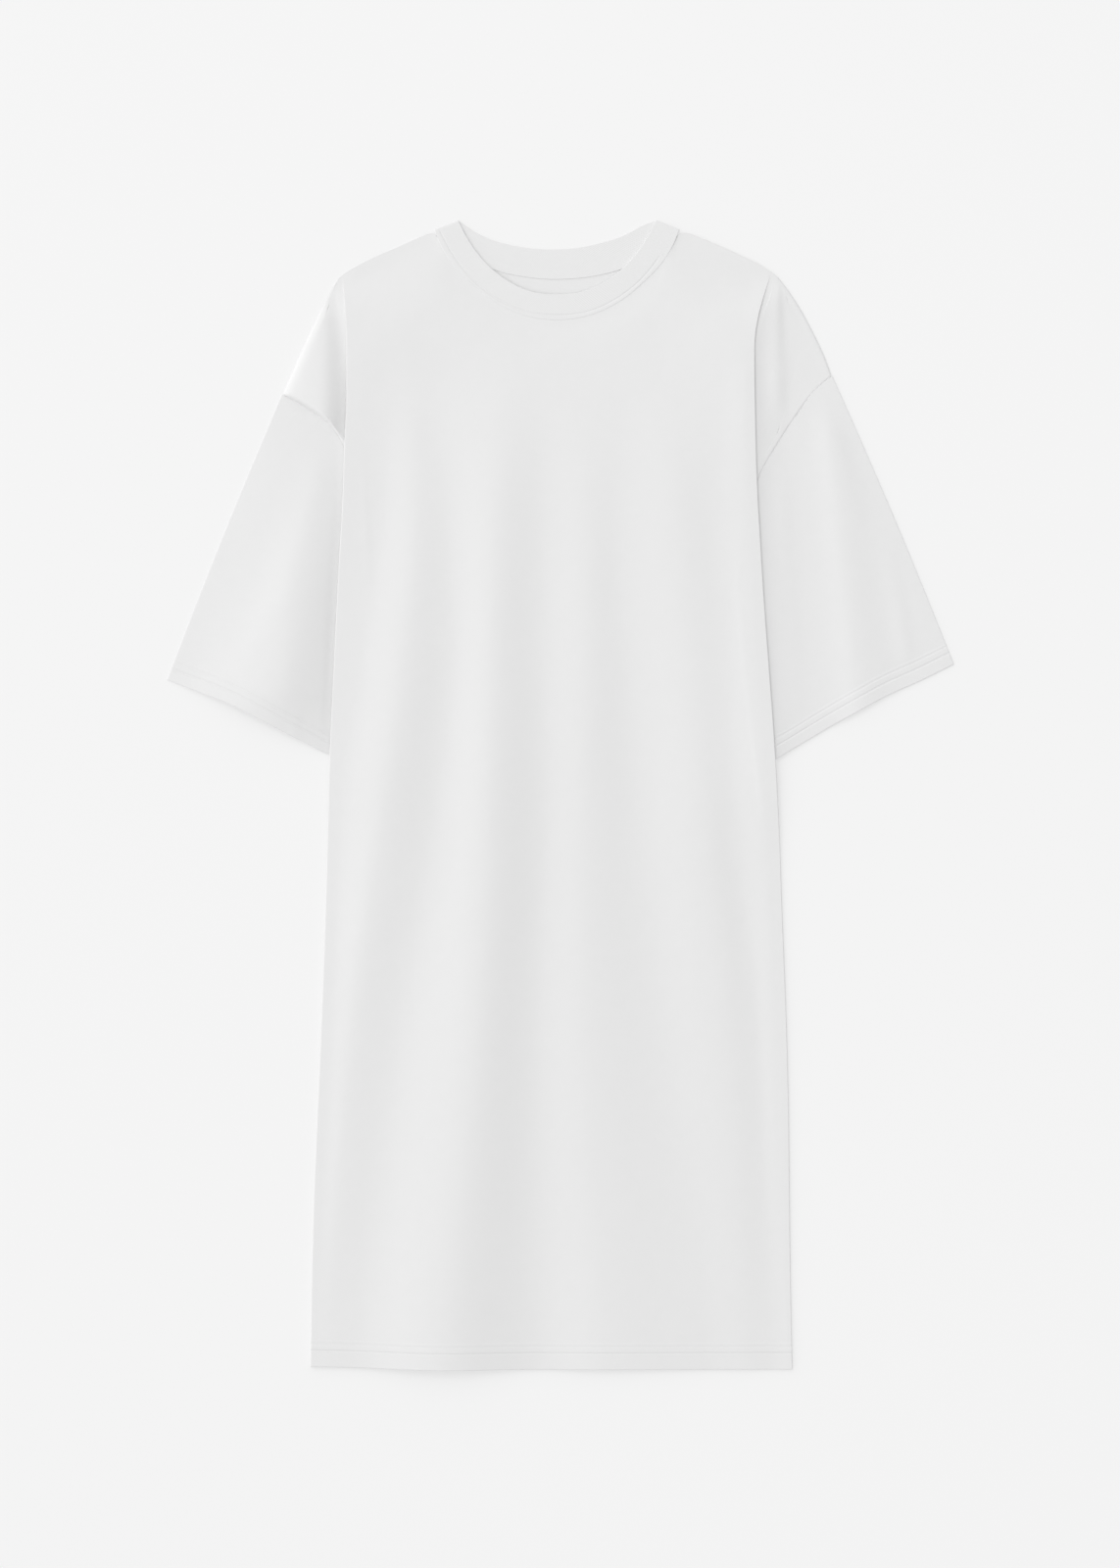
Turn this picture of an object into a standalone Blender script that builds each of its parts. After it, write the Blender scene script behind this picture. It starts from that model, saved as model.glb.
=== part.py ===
"""A T-shirt dress in plain off-white cotton jersey, lying on its back on a flat surface.

The five pieces are those a maker cuts: front panel, back panel, two sleeves and a ribbed neck band.
The sleeves are swung down beside the body. That folds each panel in two at the shoulder tip, so that
the side of the body is a tuck: the panel runs out to the fold edge, turns back under itself, and turns
out again to the armhole. Below the armhole the same fold ends at the hidden side seam.

Millimetres in the tables, metres in the scene. X runs across, Y from the hem to the neck, Z up from
the surface. "Left" is the side at -X, as someone who looks down at the front sees it. A distance
"outward" is measured from the middle line towards either side.
"""
import math

import bmesh
import bpy

MM = 0.001

# Cloth and seams
JERSEY_WALL = 1.0
RIB_WALL = 1.8
LAYER_PITCH = 1.5
SEAM_PITCH = 1.3
SEAM_GAP = 0.3
ARMHOLE_GAP = 0.5
TURN_RADIUS = LAYER_PITCH / 2
FLOOR_LEVEL = JERSEY_WALL / 2

# Lengthwise positions of the body
CHEST_Y = 338.6
ARMPIT_Y = 192.0
HEM_Y = -536.0
HEM_LEFT_RISE = 2.5
HEM_RISE_WIDTH = 120.0

# How the outer cloth climbs onto the folded side of the body
CLIMB_START = 19.0
CLIMB_END = 1.5
STACK_FALL = 42.0
STACK_FLAT = 3.0
TUCK_LEAST = 3.0
OUTER_LEAST = 0.9
SEAM_CLOSES_FROM_Y = 185.0
SEAM_CLOSES_LENGTH = 60.0
SEAM_SLOPE = 4.0
CUFF_CLEAR_Y = 15.0
CUFF_CLEAR_LENGTH = 75.0

# Shoulder: half width of the garment's edge at each height, left and right
SHOULDER_COLUMNS = ("y", "left", "right")
SHOULDER = (
    (526.5, 117.5, 110.9),
    (519.0, 132.0, 131.0),
    (510.0, 152.0, 152.0),
    (501.0, 174.0, 171.5),
    (494.0, 187.0, 186.0),
    (484.0, 201.0, 200.0),
    (478.0, 207.5, 207.0),
    (467.0, 216.0, 215.5),
    (448.0, 225.5, 228.5),
    (430.0, 234.0, 237.0),
    (412.0, 242.0, 245.0),
    (390.0, 252.0, 253.0),
    (372.5, 259.5, 261.0),
)
SHOULDER_TIP_Y = {"left": 478.0, "right": 481.0}

# Side folds: distance outward of the fold edge, and how deep the cloth is tucked behind it.
# A tuck below zero is a slope of that width, where the fold starts at the shoulder tip.
SIDE_COLUMNS = ("y", "left", "right", "left_tuck", "right_tuck")
SIDE_FOLDS = (
    (486.0, 201.5, 196.0, -2.0, -2.0),
    (467.0, 199.5, 190.0, -6.0, -6.0),
    (449.0, 198.0, 184.5, -4.0, -4.0),
    (424.0, 197.0, 180.5, 4.0, 4.0),
    (372.0, 198.5, 181.0, 13.0, 11.0),
    (320.0, 201.5, 182.0, 24.0, 19.0),
    (270.0, 203.0, 184.0, 35.0, 26.0),
    (220.0, 206.0, 187.0, 44.0, 32.0),
    (192.0, 207.5, 188.5, 48.0, 36.0),
    (120.0, 211.0, 194.0, 48.0, 35.0),
    (36.0, 215.0, 200.0, 43.0, 30.0),
    (-36.0, 217.0, 204.0, 34.0, 24.0),
    (-128.0, 219.5, 207.0, 22.0, 16.0),
    (-219.0, 223.0, 211.0, 14.0, 11.0),
    (-310.0, 227.0, 213.0, 8.0, 7.0),
    (-402.0, 231.0, 213.5, 5.0, 5.0),
    (-536.0, 233.0, 216.0, 3.0, 3.0),
)
FOLD_RISE_TOP_Y = 486.0
FOLD_RISE_END_Y = 440.0

# Armhole seam: distance outward, from the end of the shoulder to the hidden armpit
ARMHOLE_COLUMNS = ("y", "left")
ARMHOLE_LEFT = (
    (372.5, 259.5),
    (365.0, 245.0),
    (357.0, 232.0),
    (347.0, 218.4),
    (338.6, 210.0),
    (324.0, 202.0),
    (306.0, 195.5),
    (270.0, 184.0),
    (230.0, 173.0),
    (192.0, 163.3),
)
ARMHOLE_RIGHT = (
    (390.0, 253.0),
    (381.0, 241.5),
    (372.5, 233.0),
    (357.0, 222.5),
    (340.5, 211.0),
    (320.0, 198.5),
    (299.0, 186.0),
    (270.0, 174.5),
    (230.0, 164.0),
    (192.0, 156.3),
)

# Cuff: outward and y along the sleeve's lower edge, from the outer corner to the hidden inner corner
CUFF = {
    "left": ((366.5, 106.5), (338.0, 95.5), (310.8, 85.5), (283.3, 71.7), (256.0, 57.0), (214.8, 36.0), (185.0, 22.4)),
    "right": ((366.5, 121.0), (333.6, 104.7), (306.0, 92.8), (278.8, 78.0), (251.0, 62.6), (202.0, 33.4), (187.5, 25.5)),
}

# Neck band, one half, from the shoulder to the middle: outward and y of its seam and of its free edge
NECK_MIDDLE_X = -3.3
BACK_NECK_TILT = 0.03
NECK_COLUMNS = ("seam_x", "seam_y", "free_x", "free_y")
NECK_FRONT = (
    (114.2, 526.5, 92.0, 535.1),
    (108.5, 512.0, 85.0, 521.0),
    (97.5, 494.5, 76.0, 507.0),
    (81.0, 477.5, 64.0, 493.0),
    (59.0, 459.5, 47.0, 479.5),
    (31.0, 446.5, 25.0, 469.0),
    (0.0, 442.0, 0.0, 466.0),
)
NECK_BACK = (
    (114.2, 526.5, 92.0, 535.1),
    (99.0, 509.0, 77.0, 527.0),
    (80.0, 497.0, 62.0, 519.3),
    (60.0, 489.3, 47.0, 514.6),
    (40.0, 484.0, 31.0, 511.0),
    (20.0, 481.0, 16.0, 508.9),
    (0.0, 480.0, 0.0, 508.3),
)
BAND_CLEAR = 0.1
BAND_TURN_RADIUS = 1.35
BAND_TURN_SHARE = 0.0062
BAND_FRONT_LIFT = 1.4
NECK_RAISE = 1.4
NECK_RAISE_SHARE = 0.25

# Soft folds of the front: x of each crest at the chest, the waist and the hem, its half width there, its height
CREST_COLUMNS = ("chest_x", "waist_x", "hem_x", "chest_width", "hem_width", "height")
CREST_CHEST_Y = 320.0
CREST_WAIST_Y = -9.0
CREST_HEM_Y = -530.0
CRESTS = (
    (-138.0, -163.0, -196.0, 13.0, 16.0, 2.3),
    (-57.5, -66.5, -107.0, 14.0, 34.0, 3.4),
    (20.5, 22.0, 33.0, 14.0, 29.0, 2.4),
    (111.5, 132.0, 160.0, 14.0, 26.0, 2.6),
)
CREST_FADE_TOP_Y = 405.0
CREST_FADE_END_Y = 270.0
FRONT_LEVEL = FLOOR_LEVEL + LAYER_PITCH

# Soft volume of the sleeves
SLEEVE_PUFF = {"left": 4.2, "right": 3.4}
SLEEVE_RIDGE = {"left": (0.55, 0.16, 1.6), "right": (0.50, 0.13, 1.5)}
SLEEVE_BOW = 2.0

# How finely each piece is divided
MAIN_STEPS_FRONT = (5, 7, 7, 8, 6)
MAIN_STEPS_BACK = (2, 4, 4, 4, 2)
OUTER_STEPS = 7
TURN_STEPS = 4
TUCK_STEPS = 3
TOP_SHARES = {
    "left": (0.0, 0.118, 0.248, 0.412, 0.582, 0.757, 0.815, 0.875, 0.938, 1.0),
    "right": (0.0, 0.118, 0.240, 0.400, 0.520, 0.639, 0.730, 0.820, 0.910, 1.0),
}
ARMHOLE_ROWS = (328.0, 314.0, 298.0, 278.0, 252.0, 224.0, ARMPIT_Y)
SKIRT_ROWS = (150.0, 100.0, 55.0, 20.0, -10.0, -50.0, -110.0, -190.0, -280.0, -370.0, -455.0, HEM_Y)
SLEEVE_ROWS = 10
SLEEVE_OPEN_STEPS = 6
SLEEVE_HIDDEN_STEPS = 5
CLIMB_OFFSETS = (19.0, 13.0, 7.0, 1.5)
BAND_CROSS_STEPS = 3

MATERIALS = {
    "jersey": ((0.83, 0.83, 0.82, 1.0), 0.92, 0.0),
    "rib_knit": ((0.82, 0.82, 0.81, 1.0), 0.94, 0.0),
}
SIDES = {"left": -1.0, "right": 1.0}


def clear_scene():
    for thing in list(bpy.data.objects):
        bpy.data.objects.remove(thing, do_unlink=True)


def mix(a, b, share):
    return a + (b - a) * share


def smooth(share):
    """Eases from 0 to 1 while share goes from 0 to 1."""
    share = min(1.0, max(0.0, share))
    return share * share * (3.0 - 2.0 * share)


def hermite(keys, values, at):
    """A smooth curve through short, sorted columns that doesn't overshoot, read at one place."""
    if keys[0] > keys[-1]:
        keys = keys[::-1]
        values = values[::-1]
    if at <= keys[0]:
        return values[0]
    if at >= keys[-1]:
        return values[-1]
    i = max(k for k in range(len(keys) - 1) if keys[k] <= at)
    slopes = [(values[k + 1] - values[k]) / (keys[k + 1] - keys[k]) for k in range(len(keys) - 1)]

    def tangent(k):
        if k == 0 or k == len(keys) - 1:
            return slopes[min(k, len(slopes) - 1)]
        before = slopes[k - 1]
        after = slopes[k]
        if before * after <= 0.0:
            return 0.0
        return 2.0 * before * after / (before + after)

    width = keys[i + 1] - keys[i]
    u = (at - keys[i]) / width
    return (
        (2 * u**3 - 3 * u**2 + 1) * values[i]
        + (u**3 - 2 * u**2 + u) * width * tangent(i)
        + (3 * u**2 - 2 * u**3) * values[i + 1]
        + (u**3 - u**2) * width * tangent(i + 1)
    )


def column(table, names, name):
    return [row[names.index(name)] for row in table]


def read(table, names, name, at, key="y"):
    return hermite(column(table, names, key), column(table, names, name), at)


class Path:
    """A smooth plan curve through a few points, read by its share of the length."""

    def __init__(self, points, pieces=12):
        ends = [points[0]] + list(points) + [points[-1]]
        self.points = []
        for i in range(1, len(ends) - 2):
            for k in range(pieces):
                self.points.append(self.between(ends[i - 1 : i + 3], k / pieces))
        self.points.append(points[-1])
        self.lengths = [0.0]
        for a, b in zip(self.points, self.points[1:]):
            self.lengths.append(self.lengths[-1] + math.dist(a, b))

    @staticmethod
    def between(four, u):
        a, b, c, d = four
        return tuple(
            0.5 * (2 * b[n] + (c[n] - a[n]) * u + (2 * a[n] - 5 * b[n] + 4 * c[n] - d[n]) * u**2
                   + (3 * b[n] - a[n] - 3 * c[n] + d[n]) * u**3)
            for n in range(2)
        )

    def at(self, share):
        target = share * self.lengths[-1]
        i = 0
        while i < len(self.lengths) - 2 and self.lengths[i + 1] < target:
            i += 1
        part = (target - self.lengths[i]) / (self.lengths[i + 1] - self.lengths[i])
        return tuple(mix(self.points[i][n], self.points[i + 1][n], part) for n in range(2))

    def share_where(self, test):
        """The share of the length at which test first turns true."""
        i = next(k for k, point in enumerate(self.points) if test(point))
        return self.lengths[i] / self.lengths[-1]


def neck_path(table, kind, tilt=0.0):
    """The whole neck curve, from the left shoulder to the right one."""
    xs = column(table, NECK_COLUMNS, kind + "_x")
    ys = column(table, NECK_COLUMNS, kind + "_y")
    left = [(NECK_MIDDLE_X - x, y - tilt * x) for x, y in zip(xs, ys)]
    right = [(NECK_MIDDLE_X + x, y + tilt * x) for x, y in zip(xs, ys)]
    left[0] = (left[0][0], ys[0])
    right[0] = (right[0][0], ys[0])
    return Path(left + right[-2::-1])


def fold_edge(side, y):
    return read(SIDE_FOLDS, SIDE_COLUMNS, side, y)


def tuck_depth(side, y):
    depth = read(SIDE_FOLDS, SIDE_COLUMNS, side + "_tuck", y)
    if depth > -1.0:
        return max(depth, TUCK_LEAST)
    return depth


def fold_strength(y):
    """0 at the shoulder tip, where the cloth is one layer, and 1 where the side is fully folded."""
    return smooth((FOLD_RISE_TOP_Y - y) / (FOLD_RISE_TOP_Y - FOLD_RISE_END_Y))


def sleeve_room(y):
    """1 where the sleeve lies between the folds of the side, 0 below the cuff."""
    return 1.0 - smooth((CUFF_CLEAR_Y - y) / CUFF_CLEAR_LENGTH)


def shoulder_width(side, y):
    return read(SHOULDER, SHOULDER_COLUMNS, side, y)


def shoulder_height(side, outward):
    return hermite(column(SHOULDER, SHOULDER_COLUMNS, side), column(SHOULDER, SHOULDER_COLUMNS, "y"), outward)


def armhole(side, y):
    table = ARMHOLE_LEFT if side == "left" else ARMHOLE_RIGHT
    return read(table, ARMHOLE_COLUMNS, "left", y)


def climb(side, outward, y):
    """Height that cloth outside the body gains where it slips between the folds of the side."""
    inside = fold_edge(side, y) + CLIMB_START - outward
    return 2.0 * LAYER_PITCH * fold_strength(y) * smooth(inside / (CLIMB_START - CLIMB_END))


def levels(face, y):
    """Heights of the three layers of the side fold: towards the armhole, tucked, and the main panel."""
    q = fold_strength(y)
    if face == "back":
        return FLOOR_LEVEL + 2 * LAYER_PITCH * q, FLOOR_LEVEL + LAYER_PITCH * q, FLOOR_LEVEL
    room = 2 * LAYER_PITCH * sleeve_room(y)
    outer = FRONT_LEVEL + 2 * LAYER_PITCH * q
    return outer, FRONT_LEVEL + (LAYER_PITCH + room) * q, FRONT_LEVEL + (2 * LAYER_PITCH + room) * q


def crest_x(crest, y):
    """Where a soft fold's crest lies at a height, from its places at the chest, the waist and the hem."""
    keys = (CREST_HEM_Y, CREST_WAIST_Y, CREST_CHEST_Y)
    values = (crest[2], crest[1], crest[0])
    return hermite(keys, values, y)


def crest_height(x, y):
    total = 0.0
    for crest in CRESTS:
        share = smooth((CREST_CHEST_Y - y) / (CREST_CHEST_Y - CREST_HEM_Y))
        width = mix(crest[3], crest[4], share)
        total += crest[5] * math.exp(-(((x - crest_x(crest, y)) / width) ** 2) / 2)
    return total * smooth((CREST_FADE_TOP_Y - y) / (CREST_FADE_TOP_Y - CREST_FADE_END_Y))


def front_height(x, y):
    """Middle of the front panel's wall between its two fold edges."""
    rise = 0.0
    crests = 1.0
    for side, sign in SIDES.items():
        inside = fold_edge(side, y) - sign * x
        depth = max(tuck_depth(side, y), 0.0)
        near = 1.0 - smooth((inside - depth - STACK_FLAT) / STACK_FALL)
        rise += (levels("front", y)[2] - FRONT_LEVEL) * near
        crests *= 1.0 - near
    return FRONT_LEVEL + rise + crests * crest_height(x, y)


def turn(edge, radius, low, high, outward):
    """Inner points of a half turn from one layer to the next. outward is 1 for a turn that bulges out."""
    points = []
    for k in range(1, TURN_STEPS):
        angle = math.pi * k / TURN_STEPS
        reach = edge - outward * radius + outward * radius * math.sin(angle)
        points.append((reach, mix(low, high, (1.0 - math.cos(angle)) / 2)))
    return points


def side_section(side, face, y, edge_y, folded):
    """Outward distance and height of each point, from the piece's outer edge to the start of the panel."""
    fold = fold_edge(side, y)
    depth = tuck_depth(side, y)
    outer, tucked, main = levels(face, y)
    base = FLOOR_LEVEL if face == "back" else FRONT_LEVEL
    radius = TURN_RADIUS
    tuck_end = fold - radius
    section = []
    if folded:
        if edge_y > armhole_top(side) - 0.01:
            start = shoulder_width(side, edge_y)
        else:
            start = armhole(side, edge_y)
        inner = fold - depth + radius if depth > 0 else fold - depth
        wanted = [start, mix(start, fold + CLIMB_START, 0.5)]
        wanted += [fold + offset for offset in CLIMB_OFFSETS]
        wanted += [mix(fold, inner, 0.5), inner]
        least = min(OUTER_LEAST, (start - inner) / (OUTER_STEPS + 1))
        places = []
        for k, place in enumerate(wanted):
            place = min(place, start - k * least)
            places.append(max(place, inner + (len(wanted) - 1 - k) * least))
        for k, place in enumerate(places):
            height = base + climb(side, place, y)
            if face == "front" and k == 0 and least == OUTER_LEAST and edge_y > armhole_top(side):
                height -= LAYER_PITCH - SEAM_PITCH
            section.append((place, height))
        if depth < 0:
            steps = 2 * TURN_STEPS + TUCK_STEPS
            low = section[-1][1]
            for k in range(1, steps + 1):
                section.append((mix(inner, fold, k / steps), mix(low, main, smooth(k / steps))))
            return section
        section += turn(fold - depth, radius, outer, tucked, -1.0)
        section.append((inner, tucked))
        tuck_start = (inner, tucked)
    else:
        close = smooth((SEAM_CLOSES_FROM_Y - y) / SEAM_CLOSES_LENGTH)
        other = levels("back" if face == "front" else "front", y)[1]
        middle = (tucked + other) / 2
        ending = middle + (SEAM_PITCH / 2 if face == "front" else -SEAM_PITCH / 2)
        tuck_start = (fold - depth, mix(tucked, ending, close))
        section.append(tuck_start)
    knee = min(tuck_start[0] + SEAM_SLOPE, mix(tuck_start[0], tuck_end, 0.33))
    section.append((knee, tucked))
    section.append((mix(knee, tuck_end, 0.5), tucked))
    section.append((tuck_end, tucked))
    section += turn(fold, radius, tucked, main, 1.0)
    section.append((tuck_end, main))
    return section


def armhole_top(side):
    return (ARMHOLE_LEFT if side == "left" else ARMHOLE_RIGHT)[0][0]


def spread(anchors, steps):
    """Places between anchors, each stretch cut in its own number of steps, both ends included."""
    places = [anchors[0]]
    for a, b, count in zip(anchors, anchors[1:], steps):
        places += [mix(a, b, (k + 1) / count) for k in range(count)]
    return places


def body_anchors(y):
    inner = [crest_x(crest, y) for crest in CRESTS]
    left = -(fold_edge("left", y) - TURN_RADIUS)
    right = fold_edge("right", y) - TURN_RADIUS
    inner[0] = max(inner[0], left + 18.0)
    inner[-1] = min(inner[-1], right - 18.0)
    return [left] + inner + [right]


def top_places(face, steps):
    """The top row of a panel between its shoulder tips: shoulder, neckline, shoulder."""
    table = NECK_FRONT if face == "front" else NECK_BACK
    neck = neck_path(table, "seam")
    neck_steps = sum(steps[1:-1])
    places = []
    for side, sign, count in (("left", -1.0, steps[0]), ("right", 1.0, steps[-1])):
        corner = shoulder_width(side, SHOULDER[0][0])
        tip = fold_edge(side, FOLD_RISE_TOP_Y)
        stretch = []
        for k in range(count):
            outward = mix(tip, corner, k / count)
            stretch.append((sign * outward, shoulder_height(side, outward)))
        if side == "left":
            places += stretch + [neck.at(k / neck_steps) for k in range(neck_steps + 1)]
        else:
            places += stretch[::-1]
    return places


def hem_drop(x):
    return HEM_LEFT_RISE * (1.0 - smooth((x + fold_edge("left", HEM_Y)) / HEM_RISE_WIDTH))


def panel_rows(face):
    """The panel as rows of points across it, from the shoulders down to the hem."""
    steps = MAIN_STEPS_FRONT if face == "front" else MAIN_STEPS_BACK
    top = top_places(face, steps)
    chest = spread(body_anchors(CHEST_Y), steps)
    count = len(top)
    hidden = OUTER_STEPS + TURN_STEPS
    rows = []
    for i in range(len(TOP_SHARES["left"])):
        row = []
        sections = {}
        for side, column_index in (("left", 0), ("right", count - 1)):
            share = TOP_SHARES[side][i]
            y_main = mix(top[column_index][1], CHEST_Y, share)
            y_edge = mix(SHOULDER_TIP_Y[side], CHEST_Y, share)
            flat = side_section(side, face, y_main, y_edge, True)
            sign = SIDES[side]
            points = []
            for k, (outward, z) in enumerate(flat):
                y = mix(y_edge, y_main, k / (len(flat) - 1))
                if i == 0:
                    y = shoulder_height(side, outward)
                points.append((sign * outward, y, z))
            sections[side] = points
        left_end = sections["left"][-1][0]
        right_end = sections["right"][-1][0]
        for j in range(count):
            across = j / (count - 1)
            share = mix(TOP_SHARES["left"][i], TOP_SHARES["right"][i], across)
            x = mix(top[j][0], chest[j], share)
            x += (left_end - mix(top[0][0], chest[0], TOP_SHARES["left"][i])) * (1 - across) ** 4
            x += (right_end - mix(top[-1][0], chest[-1], TOP_SHARES["right"][i])) * across**4
            y = mix(top[j][1], CHEST_Y, share)
            row.append((x, y, main_height(face, x, y, share, j, count)))
        rows.append(sections["left"][:-1] + row + sections["right"][-2::-1])
    for y in ARMHOLE_ROWS + SKIRT_ROWS:
        folded = y >= ARMPIT_Y
        row = [(x, y, main_height(face, x, y, 1.0, 0, 1)) for x in spread(body_anchors(y), steps)]
        for side, sign in SIDES.items():
            flat = side_section(side, face, y, y, folded)
            points = [(sign * outward, y, z) for outward, z in flat[:-1]]
            if not folded:
                points = [None] * hidden + points
            row = points + row if side == "left" else row + points[::-1]
        if y == HEM_Y:
            row = [p and (p[0], p[1] + hem_drop(p[0]), p[2]) for p in row]
        rows.append(row)
    return rows


def main_height(face, x, y, share, j, count):
    """Middle of a panel's wall between its fold edges, with the rise to the neck seam and shoulder seam."""
    if face == "back":
        return FLOOR_LEVEL
    height = front_height(x, y)
    if share >= 1.0:
        return height
    first = MAIN_STEPS_FRONT[0]
    last = count - 1 - MAIN_STEPS_FRONT[-1]
    along = (j - first) / (last - first)
    if 0.0 < along < 1.0:
        height += NECK_RAISE * (1.0 - smooth(share / NECK_RAISE_SHARE)) * smooth(min(along, 1.0 - along) * 8.0)
    elif share == 0.0:
        height -= LAYER_PITCH - SEAM_PITCH
    return height


def sleeve_curves(side):
    """The sleeve's plan: its armhole, its cuff, its top edge and its hidden edge under the arm."""
    table = ARMHOLE_LEFT if side == "left" else ARMHOLE_RIGHT
    hole = Path([(outward, y) for y, outward in table])
    cuff = Path(CUFF[side])
    return hole, cuff


def fold_line(side, offset, hole, cuff, t):
    """A point on the line that runs at a fixed distance outside the body's fold edge."""
    a = hole.at(hole.share_where(lambda p: p[0] <= fold_edge(side, p[1]) + offset))
    c = cuff.at(cuff.share_where(lambda p: p[0] <= fold_edge(side, p[1]) + offset))
    y = mix(a[1], c[1], t)
    straight = mix(a[0] - fold_edge(side, a[1]), c[0] - fold_edge(side, c[1]), t)
    return fold_edge(side, y) + straight, y


def sleeve_lines(side):
    """Each line that runs down the sleeve, as a function of t, from the top edge to the hidden edge."""
    hole, cuff = sleeve_curves(side)

    def top_edge(t):
        a = hole.at(0.0)
        c = cuff.at(0.0)
        return mix(a[0], c[0], t) + SLEEVE_BOW * math.sin(math.pi * t), mix(a[1], c[1], t)

    def inner_edge(t):
        a = hole.at(1.0)
        c = cuff.at(1.0)
        return mix(a[0], c[0], t), mix(a[1], c[1], t)

    def blended(first, second, part, hole_share, cuff_share):
        def line(t):
            a = first(t)
            b = second(t)
            plain = [mix(a[n], b[n], part) for n in range(2)]
            start = [mix(first(0.0)[n], second(0.0)[n], part) for n in range(2)]
            end = [mix(first(1.0)[n], second(1.0)[n], part) for n in range(2)]
            wanted_start = hole.at(hole_share)
            wanted_end = cuff.at(cuff_share)
            return tuple(
                plain[n] + (wanted_start[n] - start[n]) * (1 - t) ** 2 + (wanted_end[n] - end[n]) * t**2
                for n in range(2)
            )
        return line

    def at_offset(offset):
        return lambda t: fold_line(side, offset, hole, cuff, t)

    def shares(offset):
        return (
            hole.share_where(lambda p: p[0] <= fold_edge(side, p[1]) + offset),
            cuff.share_where(lambda p: p[0] <= fold_edge(side, p[1]) + offset),
        )

    lines = [top_edge]
    outer = at_offset(CLIMB_OFFSETS[0])
    outer_shares = shares(CLIMB_OFFSETS[0])
    for k in range(1, SLEEVE_OPEN_STEPS):
        part = k / SLEEVE_OPEN_STEPS
        lines.append(blended(top_edge, outer, part, outer_shares[0] * part, outer_shares[1] * part))
    lines += [at_offset(offset) for offset in CLIMB_OFFSETS]
    last = at_offset(CLIMB_OFFSETS[-1])
    last_shares = shares(CLIMB_OFFSETS[-1])
    for k in range(1, SLEEVE_HIDDEN_STEPS):
        part = k / SLEEVE_HIDDEN_STEPS
        lines.append(blended(last, inner_edge, part, mix(last_shares[0], 1.0, part), mix(last_shares[1], 1.0, part)))
    lines.append(inner_edge)
    return lines


def sleeve_puff(side, part, t):
    """Extra height of the upper cloth of a sleeve: soft volume, and one ridge from armhole to cuff."""
    middle, width, height = SLEEVE_RIDGE[side]
    ramp = smooth(t / 0.3)
    body = SLEEVE_PUFF[side] * math.sin(math.pi * min(1.0, max(0.0, part))) ** 0.8
    ridge = height * math.exp(-(((part - middle) / width) ** 2))
    return ramp * (body + ridge * smooth(part / 0.2) * smooth((1.0 - part) / 0.2))


def sleeve_rows(side):
    sign = SIDES[side]
    lines = sleeve_lines(side)
    open_count = SLEEVE_OPEN_STEPS + len(CLIMB_OFFSETS) - 1
    rows = []
    for i in range(SLEEVE_ROWS + 1):
        t = i / SLEEVE_ROWS
        plan = [line(t) for line in lines]
        if i == 0:
            plan = beside(plan, ARMHOLE_GAP)
        upper = []
        lower = []
        for k, (outward, y) in enumerate(plan):
            rise = climb(side, outward, y)
            lower.append((sign * outward, y, FLOOR_LEVEL + rise))
            free = 1.0 - rise / (2 * LAYER_PITCH)
            height = FRONT_LEVEL + rise + free * sleeve_puff(side, k / open_count, t)
            upper.append((sign * outward, y, height))
        outer_turn = tube_turn(lines[0], t, plan[0], 1.0, lower[0][2], upper[0][2], sign)
        inner_turn = tube_turn(lines[-1], t, plan[-1], -1.0, lower[-1][2], upper[-1][2], sign)
        ring = upper + inner_turn[::-1] + lower[::-1] + outer_turn
        rows.append(ring + [ring[0]])
    return rows


def beside(points, distance):
    """A run of plan points moved square to itself, towards the sleeve."""
    moved = []
    for k, point in enumerate(points):
        before = points[max(0, k - 1)]
        after = points[min(len(points) - 1, k + 1)]
        length = math.dist(before, after)
        square = ((before[1] - after[1]) / length, (after[0] - before[0]) / length)
        moved.append(tuple(point[n] + square[n] * distance for n in range(2)))
    return moved


def shifted(point, towards, distance):
    length = math.dist(point, towards)
    return tuple(mix(point[n], towards[n], distance / length) for n in range(2))


def tube_turn(line, t, edge, outward, low, high, sign):
    """The round edge of a flattened tube, from its lower to its upper layer, square to the edge line."""
    before = line(max(0.0, t - 0.02))
    after = line(min(1.0, t + 0.02))
    length = math.dist(before, after)
    away = ((before[1] - after[1]) / length * outward, (after[0] - before[0]) / length * outward)
    points = []
    for k in range(1, TURN_STEPS):
        angle = math.pi * k / TURN_STEPS
        reach = TURN_RADIUS * math.sin(angle)
        z = mix(low, high, (1.0 - math.cos(angle)) / 2)
        points.append((sign * (edge[0] + away[0] * reach), edge[1] + away[1] * reach, z))
    return points


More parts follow.
